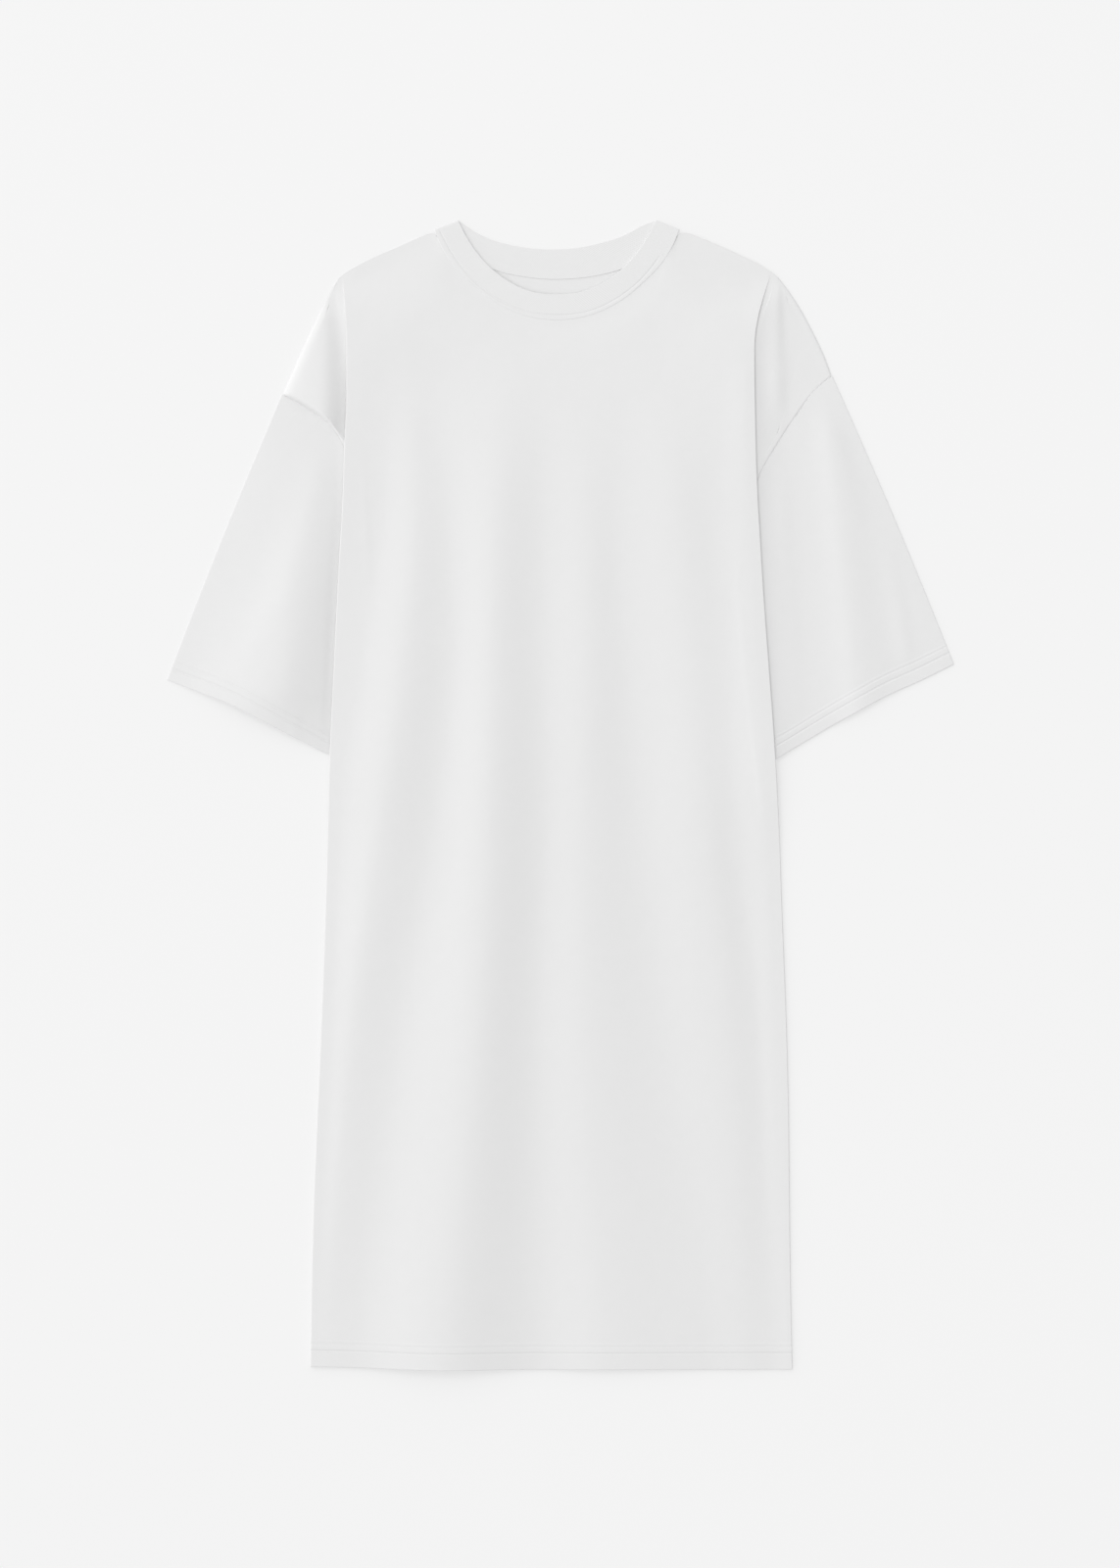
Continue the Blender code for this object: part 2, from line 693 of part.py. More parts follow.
def band_rows():
    """Rings of the neck band, from the seam to the free edge, each once around the neck."""
    back_level = RIB_WALL / 2 + BAND_CLEAR
    front_level = back_level + 2 * BAND_TURN_RADIUS
    front_steps = sum(MAIN_STEPS_FRONT[1:-1])
    back_steps = sum(MAIN_STEPS_BACK[1:-1])
    curves = {
        "front": (neck_path(NECK_FRONT, "seam"), neck_path(NECK_FRONT, "free")),
        "back": (neck_path(NECK_BACK, "seam"), neck_path(NECK_BACK, "free", BACK_NECK_TILT)),
    }
    rows = []
    for i in range(BAND_CROSS_STEPS + 1):
        across = i / BAND_CROSS_STEPS
        ring = []

        def place(half, share):
            seam = curves[half][0].at(share)
            free = curves[half][1].at(share)
            start = shifted(seam, free, SEAM_GAP)
            return [mix(start[n], free[n], across) for n in range(2)]

        def fold_direction(share):
            seam = curves["front"][0].at(share)
            free = curves["front"][1].at(share)
            length = math.dist(seam, free)
            along = [(free[n] - seam[n]) / length for n in range(2)]
            side = 1.0 if share < 0.5 else -1.0
            return -along[1] * side, along[0] * side

        for k in range(front_steps + 1):
            share = k / front_steps
            x, y = place("front", beside_fold(share))
            lift = BAND_FRONT_LIFT * across * smooth(math.sin(math.pi * share))
            ring.append((x, y, front_level + lift))
        ring += band_turn(place("front", 1.0), fold_direction(1.0), front_level, back_level)
        for k in range(back_steps, -1, -1):
            x, y = place("back", beside_fold(k / back_steps))
            ring.append((x, y, back_level))
        ring += band_turn(place("front", 0.0), fold_direction(0.0), back_level, front_level)
        rows.append(ring + [ring[0]])
    return rows


def beside_fold(share):
    """Keeps the flat parts of the band clear of its fold on each shoulder."""
    return min(1.0 - BAND_TURN_SHARE, max(BAND_TURN_SHARE, share))


def band_turn(place, out, start, end):
    points = []
    for k in range(1, TURN_STEPS):
        angle = math.pi * k / TURN_STEPS
        reach = BAND_TURN_RADIUS * (math.sin(angle) - 1.0)
        z = mix(start, end, (1.0 - math.cos(angle)) / 2)
        points.append((place[0] + out[0] * reach, place[1] + out[1] * reach, z))
    return points


def material(name):
    colour, roughness, metallic = MATERIALS[name]
    made = bpy.data.materials.get(name) or bpy.data.materials.new(name)
    made.use_nodes = True
    shader = made.node_tree.nodes["Principled BSDF"]
    shader.inputs["Base Color"].default_value = colour
    shader.inputs["Roughness"].default_value = roughness
    shader.inputs["Metallic"].default_value = metallic
    return made


def cloth(name, rows, wall, material_name, collection):
    """A panel: a grid laid through the rows of points and given the cloth's thickness.

    A row may have no point at a column, where the panel is narrower. A ring's last point repeats its first.
    """
    across = len(rows[0])
    mesh = bpy.data.meshes.new(name)
    grid = bmesh.new()
    bmesh.ops.create_grid(grid, x_segments=across - 1, y_segments=len(rows) - 1, size=1.0)
    order = sorted(grid.verts, key=lambda vert: (-round(vert.co.y, 5), round(vert.co.x, 5)))
    spare = []
    for k, vert in enumerate(order):
        point = rows[k // across][k % across]
        if point is None:
            spare.append(vert)
        else:
            vert.co = [value * MM for value in point]
    bmesh.ops.delete(grid, geom=spare, context="VERTS")
    bmesh.ops.remove_doubles(grid, verts=grid.verts, dist=0.00001)
    bmesh.ops.recalc_face_normals(grid, faces=grid.faces)
    grid.to_mesh(mesh)
    grid.free()
    mesh.shade_smooth()
    piece = bpy.data.objects.new(name, mesh)
    piece.data.materials.append(material(material_name))
    collection.objects.link(piece)
    wall_modifier = piece.modifiers.new("Cloth wall", "SOLIDIFY")
    wall_modifier.thickness = wall * MM
    wall_modifier.offset = 0.0
    wall_modifier.use_even_offset = True
    return piece


def main():
    clear_scene()
    collection = bpy.data.collections.new("t_shirt_dress")
    bpy.context.scene.collection.children.link(collection)
    cloth("front_panel", panel_rows("front"), JERSEY_WALL, "jersey", collection)
    cloth("back_panel", panel_rows("back"), JERSEY_WALL, "jersey", collection)
    cloth("sleeve_left", sleeve_rows("left"), JERSEY_WALL, "jersey", collection)
    cloth("sleeve_right", sleeve_rows("right"), JERSEY_WALL, "jersey", collection)
    cloth("collar", band_rows(), RIB_WALL, "rib_knit", collection)


if __name__ == "__main__":
    main()
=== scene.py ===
"""A T-shirt dress in off-white cotton jersey, lying on its back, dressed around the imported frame.

Each cut piece of cloth stands for its CAD node: front panel, back panel, two sleeves and a neck band.
They follow the same folds as the solids: the sleeves are swung down beside the body, so the side of the
body is a tuck that runs out to the fold edge, back under itself and out again to the armhole. The thread
of the hems, the cuffs and the neck is laid on the finished cloth.

Millimetres in the tables, metres in the scene. X runs across, Y from the hem to the neck, Z up from the
surface. "Left" is the side at -X. A distance "outward" is measured from the middle line.
"""
import functools
import math

import bmesh
import bpy
import numpy as np
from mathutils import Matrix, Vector
from mathutils.bvhtree import BVHTree


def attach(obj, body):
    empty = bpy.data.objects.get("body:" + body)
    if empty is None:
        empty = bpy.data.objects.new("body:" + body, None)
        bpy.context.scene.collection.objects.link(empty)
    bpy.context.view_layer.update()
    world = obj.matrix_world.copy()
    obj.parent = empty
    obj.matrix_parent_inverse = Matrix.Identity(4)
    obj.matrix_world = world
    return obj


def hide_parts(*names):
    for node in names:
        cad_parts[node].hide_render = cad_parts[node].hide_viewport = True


bl_info = {
    "name": "T-shirt Dress",
    "version": (1, 0, 0),
    "blender": (4, 5, 0),
    "location": "3D View > Sidebar > Dress",
    "description": "Cloth, stitching and studio for a T-shirt dress that lies flat",
    "category": "Object",
}

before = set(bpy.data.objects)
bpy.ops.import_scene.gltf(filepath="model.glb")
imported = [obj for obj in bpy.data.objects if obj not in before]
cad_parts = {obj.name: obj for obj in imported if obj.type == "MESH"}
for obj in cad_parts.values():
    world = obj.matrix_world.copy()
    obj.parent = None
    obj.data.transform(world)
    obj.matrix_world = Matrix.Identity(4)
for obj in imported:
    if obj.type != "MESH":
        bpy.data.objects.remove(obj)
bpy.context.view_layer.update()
MM = 0.001

# Cloth and seams
LAYER_PITCH = 0.64
SLEEVE_LIFT = {"left": 1.8, "right": 3.8}
TURN_RADIUS = 0.32
FLOOR_LEVEL = 0.3
FRONT_LEVEL = FLOOR_LEVEL + LAYER_PITCH
EDGE_RISE = {"left": 0.9, "right": 0.15}

# Lengthwise positions of the body
CHEST_Y = 338.6
ARMPIT_Y = 192
HEM_Y = -536
HEM_LEFT_RISE = 2.5
HEM_RISE_WIDTH = 120
HEM_RISE_FROM_Y = -445

# How the outer cloth slips under the folded side of the body
BACK_INSET = {"left": 11, "right": 2}
CLIMB_START = {"left": 10, "right": 40}
CLIMB_END = 1.5
CLIMB_POWER = 2.5
STACK_FALL = 100
STACK_FLAT = 3
TUCK_LEAST = 3
OUTER_LEAST = 0.5
SEAM_CLOSES_FROM_Y = 185
SEAM_CLOSES_LENGTH = 60
SEAM_SLOPE = 4
KNEE_SHARE = 0.33
CUFF_CLEAR_Y = 15
CUFF_CLEAR_LENGTH = 75
FOLD_RISE_TOP_Y = 486
FOLD_RISE_END_Y = 440

# Shoulder: half width of the garment's edge at each height, left and right
SHOULDER_COLUMNS = ("y", "left", "right")
SHOULDER = (
    (526.5, 117.5, 110.9), (519, 132, 131), (510, 152, 152), (501, 174, 171.5), (494, 187, 186),
    (486, 201, 198), (480, 207.5, 204.5), (467, 216, 214.5), (448, 225.5, 226.8), (430, 234, 235.8),
    (412, 242, 245), (390, 252, 253), (372.5, 259.5, 261),
)
SHOULDER_TIP_Y = {"left": 480, "right": 481}

# Side folds: distance outward of the fold edge, and how deep the cloth is tucked behind it
SIDE_COLUMNS = ("y", "left", "right", "left_tuck", "right_tuck")
SIDE_FOLDS = (
    (486, 203.5, 196, -2, -2), (467, 202, 190, -4, -6), (449, 200.5, 184.5, 4, -4),
    (424, 199.3, 180.5, 9.5, 4), (372, 199.2, 181, 14, 10), (320, 201.5, 182, 17, 12),
    (270, 203, 184, 20, 14.5), (220, 206, 187, 26, 20), (192, 207.5, 188.5, 30, 22.5),
    (120, 211, 194, 28.5, 21.5), (36, 215, 200, 24.5, 17.5), (-36, 217, 204, 19, 12.5),
    (-128, 219.5, 207, 14, 9), (-219, 223, 211, 10, 7), (-310, 227, 213, 7, 5),
    (-402, 231, 213.5, 5, 4), (-536, 233, 216, 3, 3),
)

# Armhole seam: y and distance outward, from the end of the shoulder to the hidden armpit
ARMHOLE_COLUMNS = ("y", "outward")
ARMHOLES = {
    "left": (
        (372.5, 259.5), (365, 245), (357, 232), (347, 218.4), (338.6, 210), (324, 202),
        (306, 195.5), (270, 189), (230, 184), (192, 180),
    ),
    "right": (
        (390, 253), (381, 241.5), (372.5, 233), (357, 222.5), (340.5, 211), (320, 198.5),
        (299, 186), (270, 177.5), (230, 171.5), (192, 168.5),
    ),
}

# Cuff: outward and y along the sleeve's lower edge, from the outer corner to the hidden inner corner
CUFF = {
    "left": (
        (366.5, 106.5), (338, 95.5), (310.8, 85.5), (283.3, 71.7), (256, 57), (214.8, 36), (200, 29.2),
    ),
    "right": (
        (366.5, 121), (333.6, 104.7), (306, 92.8), (278.8, 78), (251, 62.6), (202, 33.4), (187.5, 25.5),
    ),
}

# Neck band, one half, from the shoulder to the middle: outward and y of its seam and of its free edge
NECK_MIDDLE_X = -3.3
BACK_NECK_TILT = 0.03
NECK_COLUMNS = ("seam_x", "seam_y", "free_x", "free_y")
NECK_FRONT = (
    (114.2, 526.5, 92, 535.1), (108.5, 512, 85, 521), (97.5, 494.5, 76, 507), (81, 477.5, 64, 493),
    (59, 459.5, 47, 479.5), (31, 446.5, 25, 469), (0, 442, 0, 466),
)
NECK_BACK = (
    (114.2, 526.5, 92, 535.1), (99, 509, 77, 527), (80, 497, 62, 519.3), (60, 489.3, 47, 514.6),
    (40, 484, 31, 511), (20, 481, 16, 508.9), (0, 480, 0, 508.3),
)
BAND_WALL = 1.1
BAND_CLEARANCE = 0.05
BAND_TURN_RADIUS = 0.66
BAND_TURN_SHARE = 0.0062
BAND_FRONT_LIFT = 0.2
BAND_CROSS = (0, 0.03, 0.09, 0.17, 0.22, 0.3, 0.55, 0.8, 0.92, 0.975, 1)
BAND_STITCH_FROM_SEAM = 4.5
BAND_WIDTH = 24
NECK_RAISE = 0.98
NECK_RAISE_SHARE = 0.3
NECK_RAISE_ENDS = 16
NECK_RAISE_FROM_FOLD = 20

# Soft folds. Each ridge has the three places that it runs through, from its upper to its lower end, its
# width to the left and to the right at both ends, its heights there, and the lengths that it fades over.
SLEEVE_RIDGES = {
    "left": (
        (((-219, 332), (-240, 190), (-290, 20)), ((12, 48), (13, 42)), (1.8, 9.1), (155, 85)),
        (((-220, 330), (-253, 200), (-314, 90)), ((9, 12), (9, 12)), (0.55, 0.35), (30, 25)),
        (((-243, 84), (-245.5, 70), (-248.5, 50)), ((3, 4), (3, 3)), (0.25, 0.4), (10, 6)),
    ),
    "right": (
        (((206, 330), (209, 250), (222, 60)), ((5, 9), (5, 7)), (0.4, 0.4), (60, 30)),
        (((247, 375), (263, 240), (282, 60)), ((9, 14), (16, 18)), (1.7, 2.4), (50, 10)),
        (((301, 265), (311, 205), (326, 118)), ((7, 7), (7, 4)), (0.6, 0.8), (30, 15)),
    ),
}
SHOULDER_RIDGES = {
    "left": (
        (((-220, 472), (-221, 400), (-218, 300)), ((7, 64), (5, 20)), (0.8, 10.5), (30, 50)),
    ),
    "right": (
        (((203, 482), (202, 420), (203.5, 330)), ((7, 7), (1.4, 6.5)), (0.7, 2), (20, 60)),
    ),
}

# Long soft folds of the front, from left to right: x of each crest or hollow at six places down the body,
# and its height there over the level of the two folded sides
FOLD_STATIONS = (375, 265, 156, -9, -228, -502)
FOLD_LINES = (
    ((-160, -166, -183, -205, -214, -226), (-1.2, -1.8, -0.4, 0.3, 0.3, 0.1)),  # hollow
    ((-137, -136, -143.5, -164.5, -195.5, -216.5), (-0.9, 0.5, 3.1, 4.9, 2, 0.2)),  # crest
    ((-121, -105, -100.5, -114.5, -150, -185.5), (-1, -1.2, -0.6, 0.1, -1.2, -0.6)),  # hollow
    ((-54, -59.5, -63, -67.5, -78.5, -107), (0.7, 2.6, 3.1, 5, 5.9, 6.4)),  # crest
    ((-12, -14.5, -13.7, -11, -17.5, -17.5), (0.3, -1, -2.1, -2.3, -2, -3.4)),  # hollow
    ((27.5, 24.5, 24.5, 21, 23, 40), (0.4, 0.5, 0, -0.8, 0.1, 0.2)),  # crest
    ((60, 56, 62, 74, 98, 136), (0.3, -0.9, -2.5, -4.6, -4, -2.8)),  # hollow
    ((86, 109.5, 118, 134.5, 159, 178), (0.4, 1.2, 0.4, -0.8, -0.5, -0.8)),  # crest
    ((150, 146, 153.5, 160, 183.5, 194), (-0.4, -0.5, -0.9, -2.1, -1.3, -0.8)),  # hollow
    ((171, 173.5, 180, 192, 199.5, 206), (0.4, 0.4, 0.3, 0.1, -0.1, -0.4)),  # crest
)
FOLD_HEIGHT = 0.84
FOLD_LEAST_WIDTH = 1
FOLD_FADE_TOP_Y = 430
FOLD_FADE_LENGTH = 60
MIDDLE_LEVEL_TOP = 3.2
MIDDLE_LEVEL = 5.4
MIDDLE_RISE_LENGTH = 160
STACK_END_FALL = 14
STACK_SOFTNESS = 0.25
STACK_CLEAR = 8
SLEEVE_PUFF = {"left": 2.2, "right": 0.6}
SLEEVE_PUFF_PLACE = 0.3
SLEEVE_PUFF_POWER = 0.8
SLEEVE_BOW = 2
BESIDE_BODY_START = 2
BESIDE_BODY_WIDTH = 12
SLEEVE_FOLD_ROWS = 3.4
SLEEVE_FOOT = 50
SEAM_GROOVE = {"left": 0.3, "right": 0.6}
SHOULDER_FOOT = 25
SHOULDER_FOLD_COLUMNS = 3.5
SEAM_GROOVE_COLUMNS = 1.5
FRONT_FOLD_ROWS = 6
SLEEVE_FOLD_GROWTH = 5

# How finely each piece is divided, before it is smoothed
MAIN_STEPS_FRONT = (8, 9, 9, 10, 9)
MAIN_STEPS_BACK = (4, 6, 6, 6, 4)
MAIN_ANCHORS = (0.17, 0.37, 0.58, 0.8)
EDGE_CROWDING = 2.2
SINGLE_LAYER_CROWDING = 3
PULL_POWER = 4
CORNER_REACH = 0.01
TURN_STEPS = 4
TUCK_STEPS = 3
HALF_TURN = [
    (math.sin(angle), (1 - math.cos(angle)) / 2)
    for angle in (math.pi * k / TURN_STEPS for k in range(1, TURN_STEPS))
]
TOP_SHARES = {
    "left": (0, 0.006, 0.02, 0.06, 0.118, 0.248, 0.412, 0.582, 0.742, 0.757, 0.772, 0.815, 0.875, 0.938, 1),
    "right": (0, 0.006, 0.02, 0.06, 0.118, 0.24, 0.4, 0.52, 0.624, 0.639, 0.654, 0.73, 0.82, 0.91, 1),
}
ARMHOLE_ROWS = (328, 314, 298, 278, 252, 224, ARMPIT_Y)
SKIRT_ROWS = (
    150, 100, 55, 20, -10, -50, -110, -190, -280, -370, -445, -495, -513,
    -518, -524, -530, -534, HEM_Y,
)
SLEEVE_PLACES = (
    0, 0.004, 0.012, 0.03, 0.08, 0.17, 0.28, 0.4, 0.52, 0.64, 0.76, 0.86, 0.925, 0.95, 0.97, 0.99, 1,
)
PATH_STEPS = 12
SLEEVE_OPEN_STEPS = 9
SLEEVE_HIDDEN_STEPS = 4
SEAM_OFFSETS = (1.2, 3, 7)
CLIMB_OFFSETS = {"left": (16, 8, 2, -4, -9), "right": (22, 12, 5, 0.5, -5)}
CLIMB_STEPS = len(CLIMB_OFFSETS["left"])
OUTER_STEPS = len(SEAM_OFFSETS) + CLIMB_STEPS + 3
HIDDEN_STEPS = OUTER_STEPS + TURN_STEPS
SIDE_STEPS = HIDDEN_STEPS + TUCK_STEPS + TURN_STEPS
SLEEVE_OPEN_COLUMNS = SLEEVE_OPEN_STEPS + CLIMB_STEPS - 2
SLEEVE_UPPER_COLUMNS = SLEEVE_OPEN_STEPS + CLIMB_STEPS + SLEEVE_HIDDEN_STEPS
SIDES = {"left": -1.0, "right": 1.0}
HEM_LINES = (15.2, 21)
CUFF_LINES = (11.5, 17.9)
HEM_STITCHES_FROM_FOLD = 4
CUFF_STITCHES_FROM_END = 0.012
NECK_STITCHES_FROM_END = 0.01
THREAD_SINK = 0.1
NECK_THREAD_SINK = 0.12
THREAD_SINK_UNDER = 0.2
RAY_START = 0.1
TANGENT_STEP = 0.02


def mix(a, b, share):
    return a + (b - a) * share


def smooth(share):
    """Eases from 0 to 1 while share goes from 0 to 1."""
    share = min(1.0, max(0.0, share))
    return share * share * (3.0 - 2.0 * share)


def hermite(keys, values, at):
    """A smooth curve through short, sorted columns that doesn't overshoot, read at one place."""
    if keys[0] > keys[-1]:
        keys = keys[::-1]
        values = values[::-1]
    if at <= keys[0]:
        return values[0]
    if at >= keys[-1]:
        return values[-1]
    i = max(k for k in range(len(keys) - 1) if keys[k] <= at)
    slopes = [(values[k + 1] - values[k]) / (keys[k + 1] - keys[k]) for k in range(len(keys) - 1)]

    def tangent(k):
        if k == 0 or k == len(keys) - 1:
            return slopes[min(k, len(slopes) - 1)]
        before = slopes[k - 1]
        after = slopes[k]
        if before * after <= 0.0:
            return 0.0
        return 2.0 * before * after / (before + after)

    width = keys[i + 1] - keys[i]
    u = (at - keys[i]) / width
    return (
        (2 * u**3 - 3 * u**2 + 1) * values[i]
        + (u**3 - 2 * u**2 + u) * width * tangent(i)
        + (3 * u**2 - 2 * u**3) * values[i + 1]
        + (u**3 - u**2) * width * tangent(i + 1)
    )


def column(table, names, name):
    return [row[names.index(name)] for row in table]


def read(table, names, name, y):
    return hermite(column(table, names, "y"), column(table, names, name), y)


class Path:
    """A smooth plan curve through a few points, read by its share of the length."""

    def __init__(self, points):
        ends = [points[0], *points, points[-1]]
        fours = [ends[i - 1 : i + 3] for i in range(1, len(ends) - 2)]
        self.points = [self.between(four, k / PATH_STEPS) for four in fours for k in range(PATH_STEPS)]
        self.points.append(points[-1])
        self.lengths = [0.0]
        for a, b in zip(self.points, self.points[1:]):
            self.lengths.append(self.lengths[-1] + math.dist(a, b))

    @staticmethod
    def between(four, u):
        a, b, c, d = four
        return tuple(
            0.5 * (2 * b[n] + (c[n] - a[n]) * u + (2 * a[n] - 5 * b[n] + 4 * c[n] - d[n]) * u**2
                   + (3 * b[n] - a[n] - 3 * c[n] + d[n]) * u**3)
            for n in range(2)
        )

    def at(self, share):
        target = share * self.lengths[-1]
        i = 0
        while i < len(self.lengths) - 2 and self.lengths[i + 1] < target:
            i += 1
        part = (target - self.lengths[i]) / (self.lengths[i + 1] - self.lengths[i])
        return tuple(mix(self.points[i][n], self.points[i + 1][n], part) for n in range(2))

    def share_where(self, test):
        """The share of the length at which test first turns true."""
        i = next(k for k, point in enumerate(self.points) if test(point))
        return self.lengths[i] / self.lengths[-1]


def neck_path(table, kind, tilt=0.0):
    """The whole neck curve, from the left shoulder to the right one."""
    xs = column(table, NECK_COLUMNS, kind + "_x")
    ys = column(table, NECK_COLUMNS, kind + "_y")
    left = [(NECK_MIDDLE_X - x, y - tilt * x) for x, y in zip(xs, ys)]
    right = [(NECK_MIDDLE_X + x, y + tilt * x) for x, y in zip(xs, ys)]
    left[0] = (left[0][0], ys[0])
    right[0] = (right[0][0], ys[0])
    return Path(left + right[-2::-1])


def fold_edge(side, y):
    return read(SIDE_FOLDS, SIDE_COLUMNS, side, y)


def tuck_depth(side, y):
    depth = read(SIDE_FOLDS, SIDE_COLUMNS, side + "_tuck", y)
    if depth > -1.0:
        return max(depth, TUCK_LEAST)
    return depth


def back_inset(side, y):
    """How much further in the back panel's fold edge lies than the front's."""
    return max(0.0, min(BACK_INSET[side] * sleeve_room(y), tuck_depth(side, y) - TUCK_LEAST))


def fold_strength(y):
    """0 at the shoulder tip, where the cloth is one layer, and 1 where the side is fully folded."""
    return smooth((FOLD_RISE_TOP_Y - y) / (FOLD_RISE_TOP_Y - FOLD_RISE_END_Y))


def sleeve_room(y):
    """1 where the sleeve lies between the folds of the side, 0 below the cuff."""
    return 1.0 - smooth((CUFF_CLEAR_Y - y) / CUFF_CLEAR_LENGTH)


def shoulder_width(side, y):
    return read(SHOULDER, SHOULDER_COLUMNS, side, y)


def shoulder_height(side, outward):
    return hermite(column(SHOULDER, SHOULDER_COLUMNS, side), column(SHOULDER, SHOULDER_COLUMNS, "y"), outward)


def armhole(side, y):
    return read(ARMHOLES[side], ARMHOLE_COLUMNS, "outward", y)


def armhole_top(side):
    return ARMHOLES[side][0][0]


def climb(side, outward, y):
    """Height that cloth outside the body gains where it slips between the folds of the side."""
    inside = fold_edge(side, y) - back_inset(side, y) + CLIMB_START[side] - outward
    share = min(1.0, max(0.0, inside / (CLIMB_START[side] - CLIMB_END)))
    eased = smooth(share) if side == "left" else share**CLIMB_POWER
    return SLEEVE_LIFT[side] * fold_strength(y) * eased


def levels(side, face, y):
    """Heights of the three layers of the side fold: towards the armhole, tucked, and the main panel."""
    q = fold_strength(y)
    room = sleeve_room(y)
    lift = SLEEVE_LIFT[side]
    if face == "back":
        return FLOOR_LEVEL + lift * q, FLOOR_LEVEL + mix(LAYER_PITCH, lift / 2, room) * q, FLOOR_LEVEL
    tucked = FRONT_LEVEL + (LAYER_PITCH + lift * room) * q
    return FRONT_LEVEL + lift * q, tucked, tucked + (LAYER_PITCH + EDGE_RISE[side]) * q


def ridge_height(ridges, x, y):
    """Height that the soft folds of a table add at one place of the plan."""
    total = 0.0
    for places, widths, heights, fades in ridges:
        xs, ys = zip(*places)
        if ys[-1] <= y <= ys[0]:
            middle = hermite(ys, xs, y)
            down = (ys[0] - y) / (ys[0] - ys[-1])
            width = mix(*widths[0 if x < middle else 1], down)
            grown = smooth((ys[0] - y) / fades[0]) * smooth((y - ys[-1]) / fades[1])
            total += grown * mix(*heights, down) * math.exp(-(((x - middle) / width) ** 2) / 2)
    return total


@functools.cache
def fold_lines_at(y):
    """Places and heights of the front's fold lines across one height of the body, between its edges."""
    places = [-fold_edge("left", y)]
    heights = [0.0]
    fade = smooth((FOLD_FADE_TOP_Y - y) / FOLD_FADE_LENGTH) * FOLD_HEIGHT
    for xs, zs in FOLD_LINES:
        x = hermite(FOLD_STATIONS, xs, y)
        places.append(max(x, places[-1] + FOLD_LEAST_WIDTH))
        heights.append(fade * hermite(FOLD_STATIONS, zs, y))
    places.append(max(fold_edge("right", y), places[-1] + FOLD_LEAST_WIDTH))
    heights.append(0.0)
    return places, heights


def fold_height(x, y):
    """Height of the front's long folds at a place of the plan."""
    places, heights = fold_lines_at(round(y))
    return hermite(places, heights, x)


def front_height(x, y):
    """Middle of the front panel's wall between its two fold edges, before its long folds."""
    left = fold_edge("left", y)
    right = fold_edge("right", y)
    ends = [levels(side, "front", y)[2] for side in ("left", "right")]
    level = mix(*ends, min(1.0, max(0.0, (x + left) / (left + right))))
    down = smooth((NECK_FRONT[-1][1] - y) / MIDDLE_RISE_LENGTH)
    middle = mix(MIDDLE_LEVEL_TOP, max(level, MIDDLE_LEVEL), down)
    inside = min(x + left, right - x)
    return mix(level, middle, smooth((inside - STACK_FLAT) / STACK_FALL))


def held_up(x, y, z):
    """Keeps the front above the layers that are folded under its sides, and above the back panel."""
    least = FLOOR_LEVEL + LAYER_PITCH
    for side, sign in SIDES.items():
        inside = fold_edge(side, y) - sign * x
        past = inside - max(0.0, tuck_depth(side, y)) - TURN_RADIUS
        top = levels(side, "front", y)[1] + LAYER_PITCH
        least += max(0.0, top - least) * (1.0 - smooth(past / STACK_END_FALL))
    over = (z - least) / STACK_SOFTNESS
    if over > STACK_CLEAR:
        return z
    return least + STACK_SOFTNESS * math.log1p(math.exp(over))


def turn(edge, low, high, outward):
    """Inner points of a half turn from one layer to the next. outward is 1 for a turn that bulges out."""
    radius = outward * TURN_RADIUS
    return [(edge - radius + radius * out, mix(low, high, up)) for out, up in HALF_TURN]


def outer_places(side, start, inner, y):
    """Places from a panel's outer edge to its first fold, close together at the seam and where it climbs."""
    fold = fold_edge(side, y)
    wanted = [start] + [start - offset for offset in SEAM_OFFSETS]
    wanted.append(mix(wanted[-1], fold + CLIMB_OFFSETS[side][0], 0.5))
    wanted += [fold + offset for offset in CLIMB_OFFSETS[side]]
    wanted += [mix(min(wanted[-1], fold), inner, 0.5), inner]
    least = min(OUTER_LEAST, (start - inner) / (OUTER_STEPS + 1))
    places = []
    for k, place in enumerate(wanted):
        place = min(place, start - k * least)
        places.append(max(place, inner + (len(wanted) - 1 - k) * least))
    return places


def side_section(side, face, y, edge_y, folded):
    """Outward distance and height of each point, from the piece's outer edge to the start of the panel."""
    inset = back_inset(side, y) if face == "back" else 0.0
    fold = fold_edge(side, y) - inset
    depth = tuck_depth(side, y) - inset
    outer, tucked, main = levels(side, face, y)
    tuck_end = fold - TURN_RADIUS
    if folded:
        base = FLOOR_LEVEL if face == "back" else FRONT_LEVEL
        on_shoulder = edge_y > armhole_top(side) - CORNER_REACH
        start = shoulder_width(side, edge_y) if on_shoulder else armhole(side, edge_y)
        inner = fold - depth + TURN_RADIUS if depth > 0 else fold - depth
        section = [(place, base + climb(side, place, y)) for place in outer_places(side, start, inner, y)]
        if depth < 0:
            low = section[-1][1]
            steps = SIDE_STEPS - OUTER_STEPS
            for k in range(1, steps + 1):
                reach = 1.0 - (1.0 - k / steps) ** SINGLE_LAYER_CROWDING
                section.append((mix(inner, fold, reach), mix(low, main, smooth(2.0 * k / steps - 1.0))))
            return section
        section += turn(fold - depth, outer, tucked, -1.0)
        tuck_start = (inner, tucked)
    else:
        close = smooth((SEAM_CLOSES_FROM_Y - y) / SEAM_CLOSES_LENGTH)
        other = levels(side, "back" if face == "front" else "front", y)[1]
        middle = (tucked + other) / 2
        ending = middle + (LAYER_PITCH / 2 if face == "front" else -LAYER_PITCH / 2)
        section = []
        tuck_start = (fold - depth, mix(tucked, ending, close))
    knee = min(tuck_start[0] + SEAM_SLOPE, mix(tuck_start[0], tuck_end, KNEE_SHARE))
    section += [tuck_start, (knee, tucked), (mix(knee, tuck_end, 0.5), tucked), (tuck_end, tucked)]
    return section + turn(fold, tucked, main, 1.0) + [(tuck_end, main)]


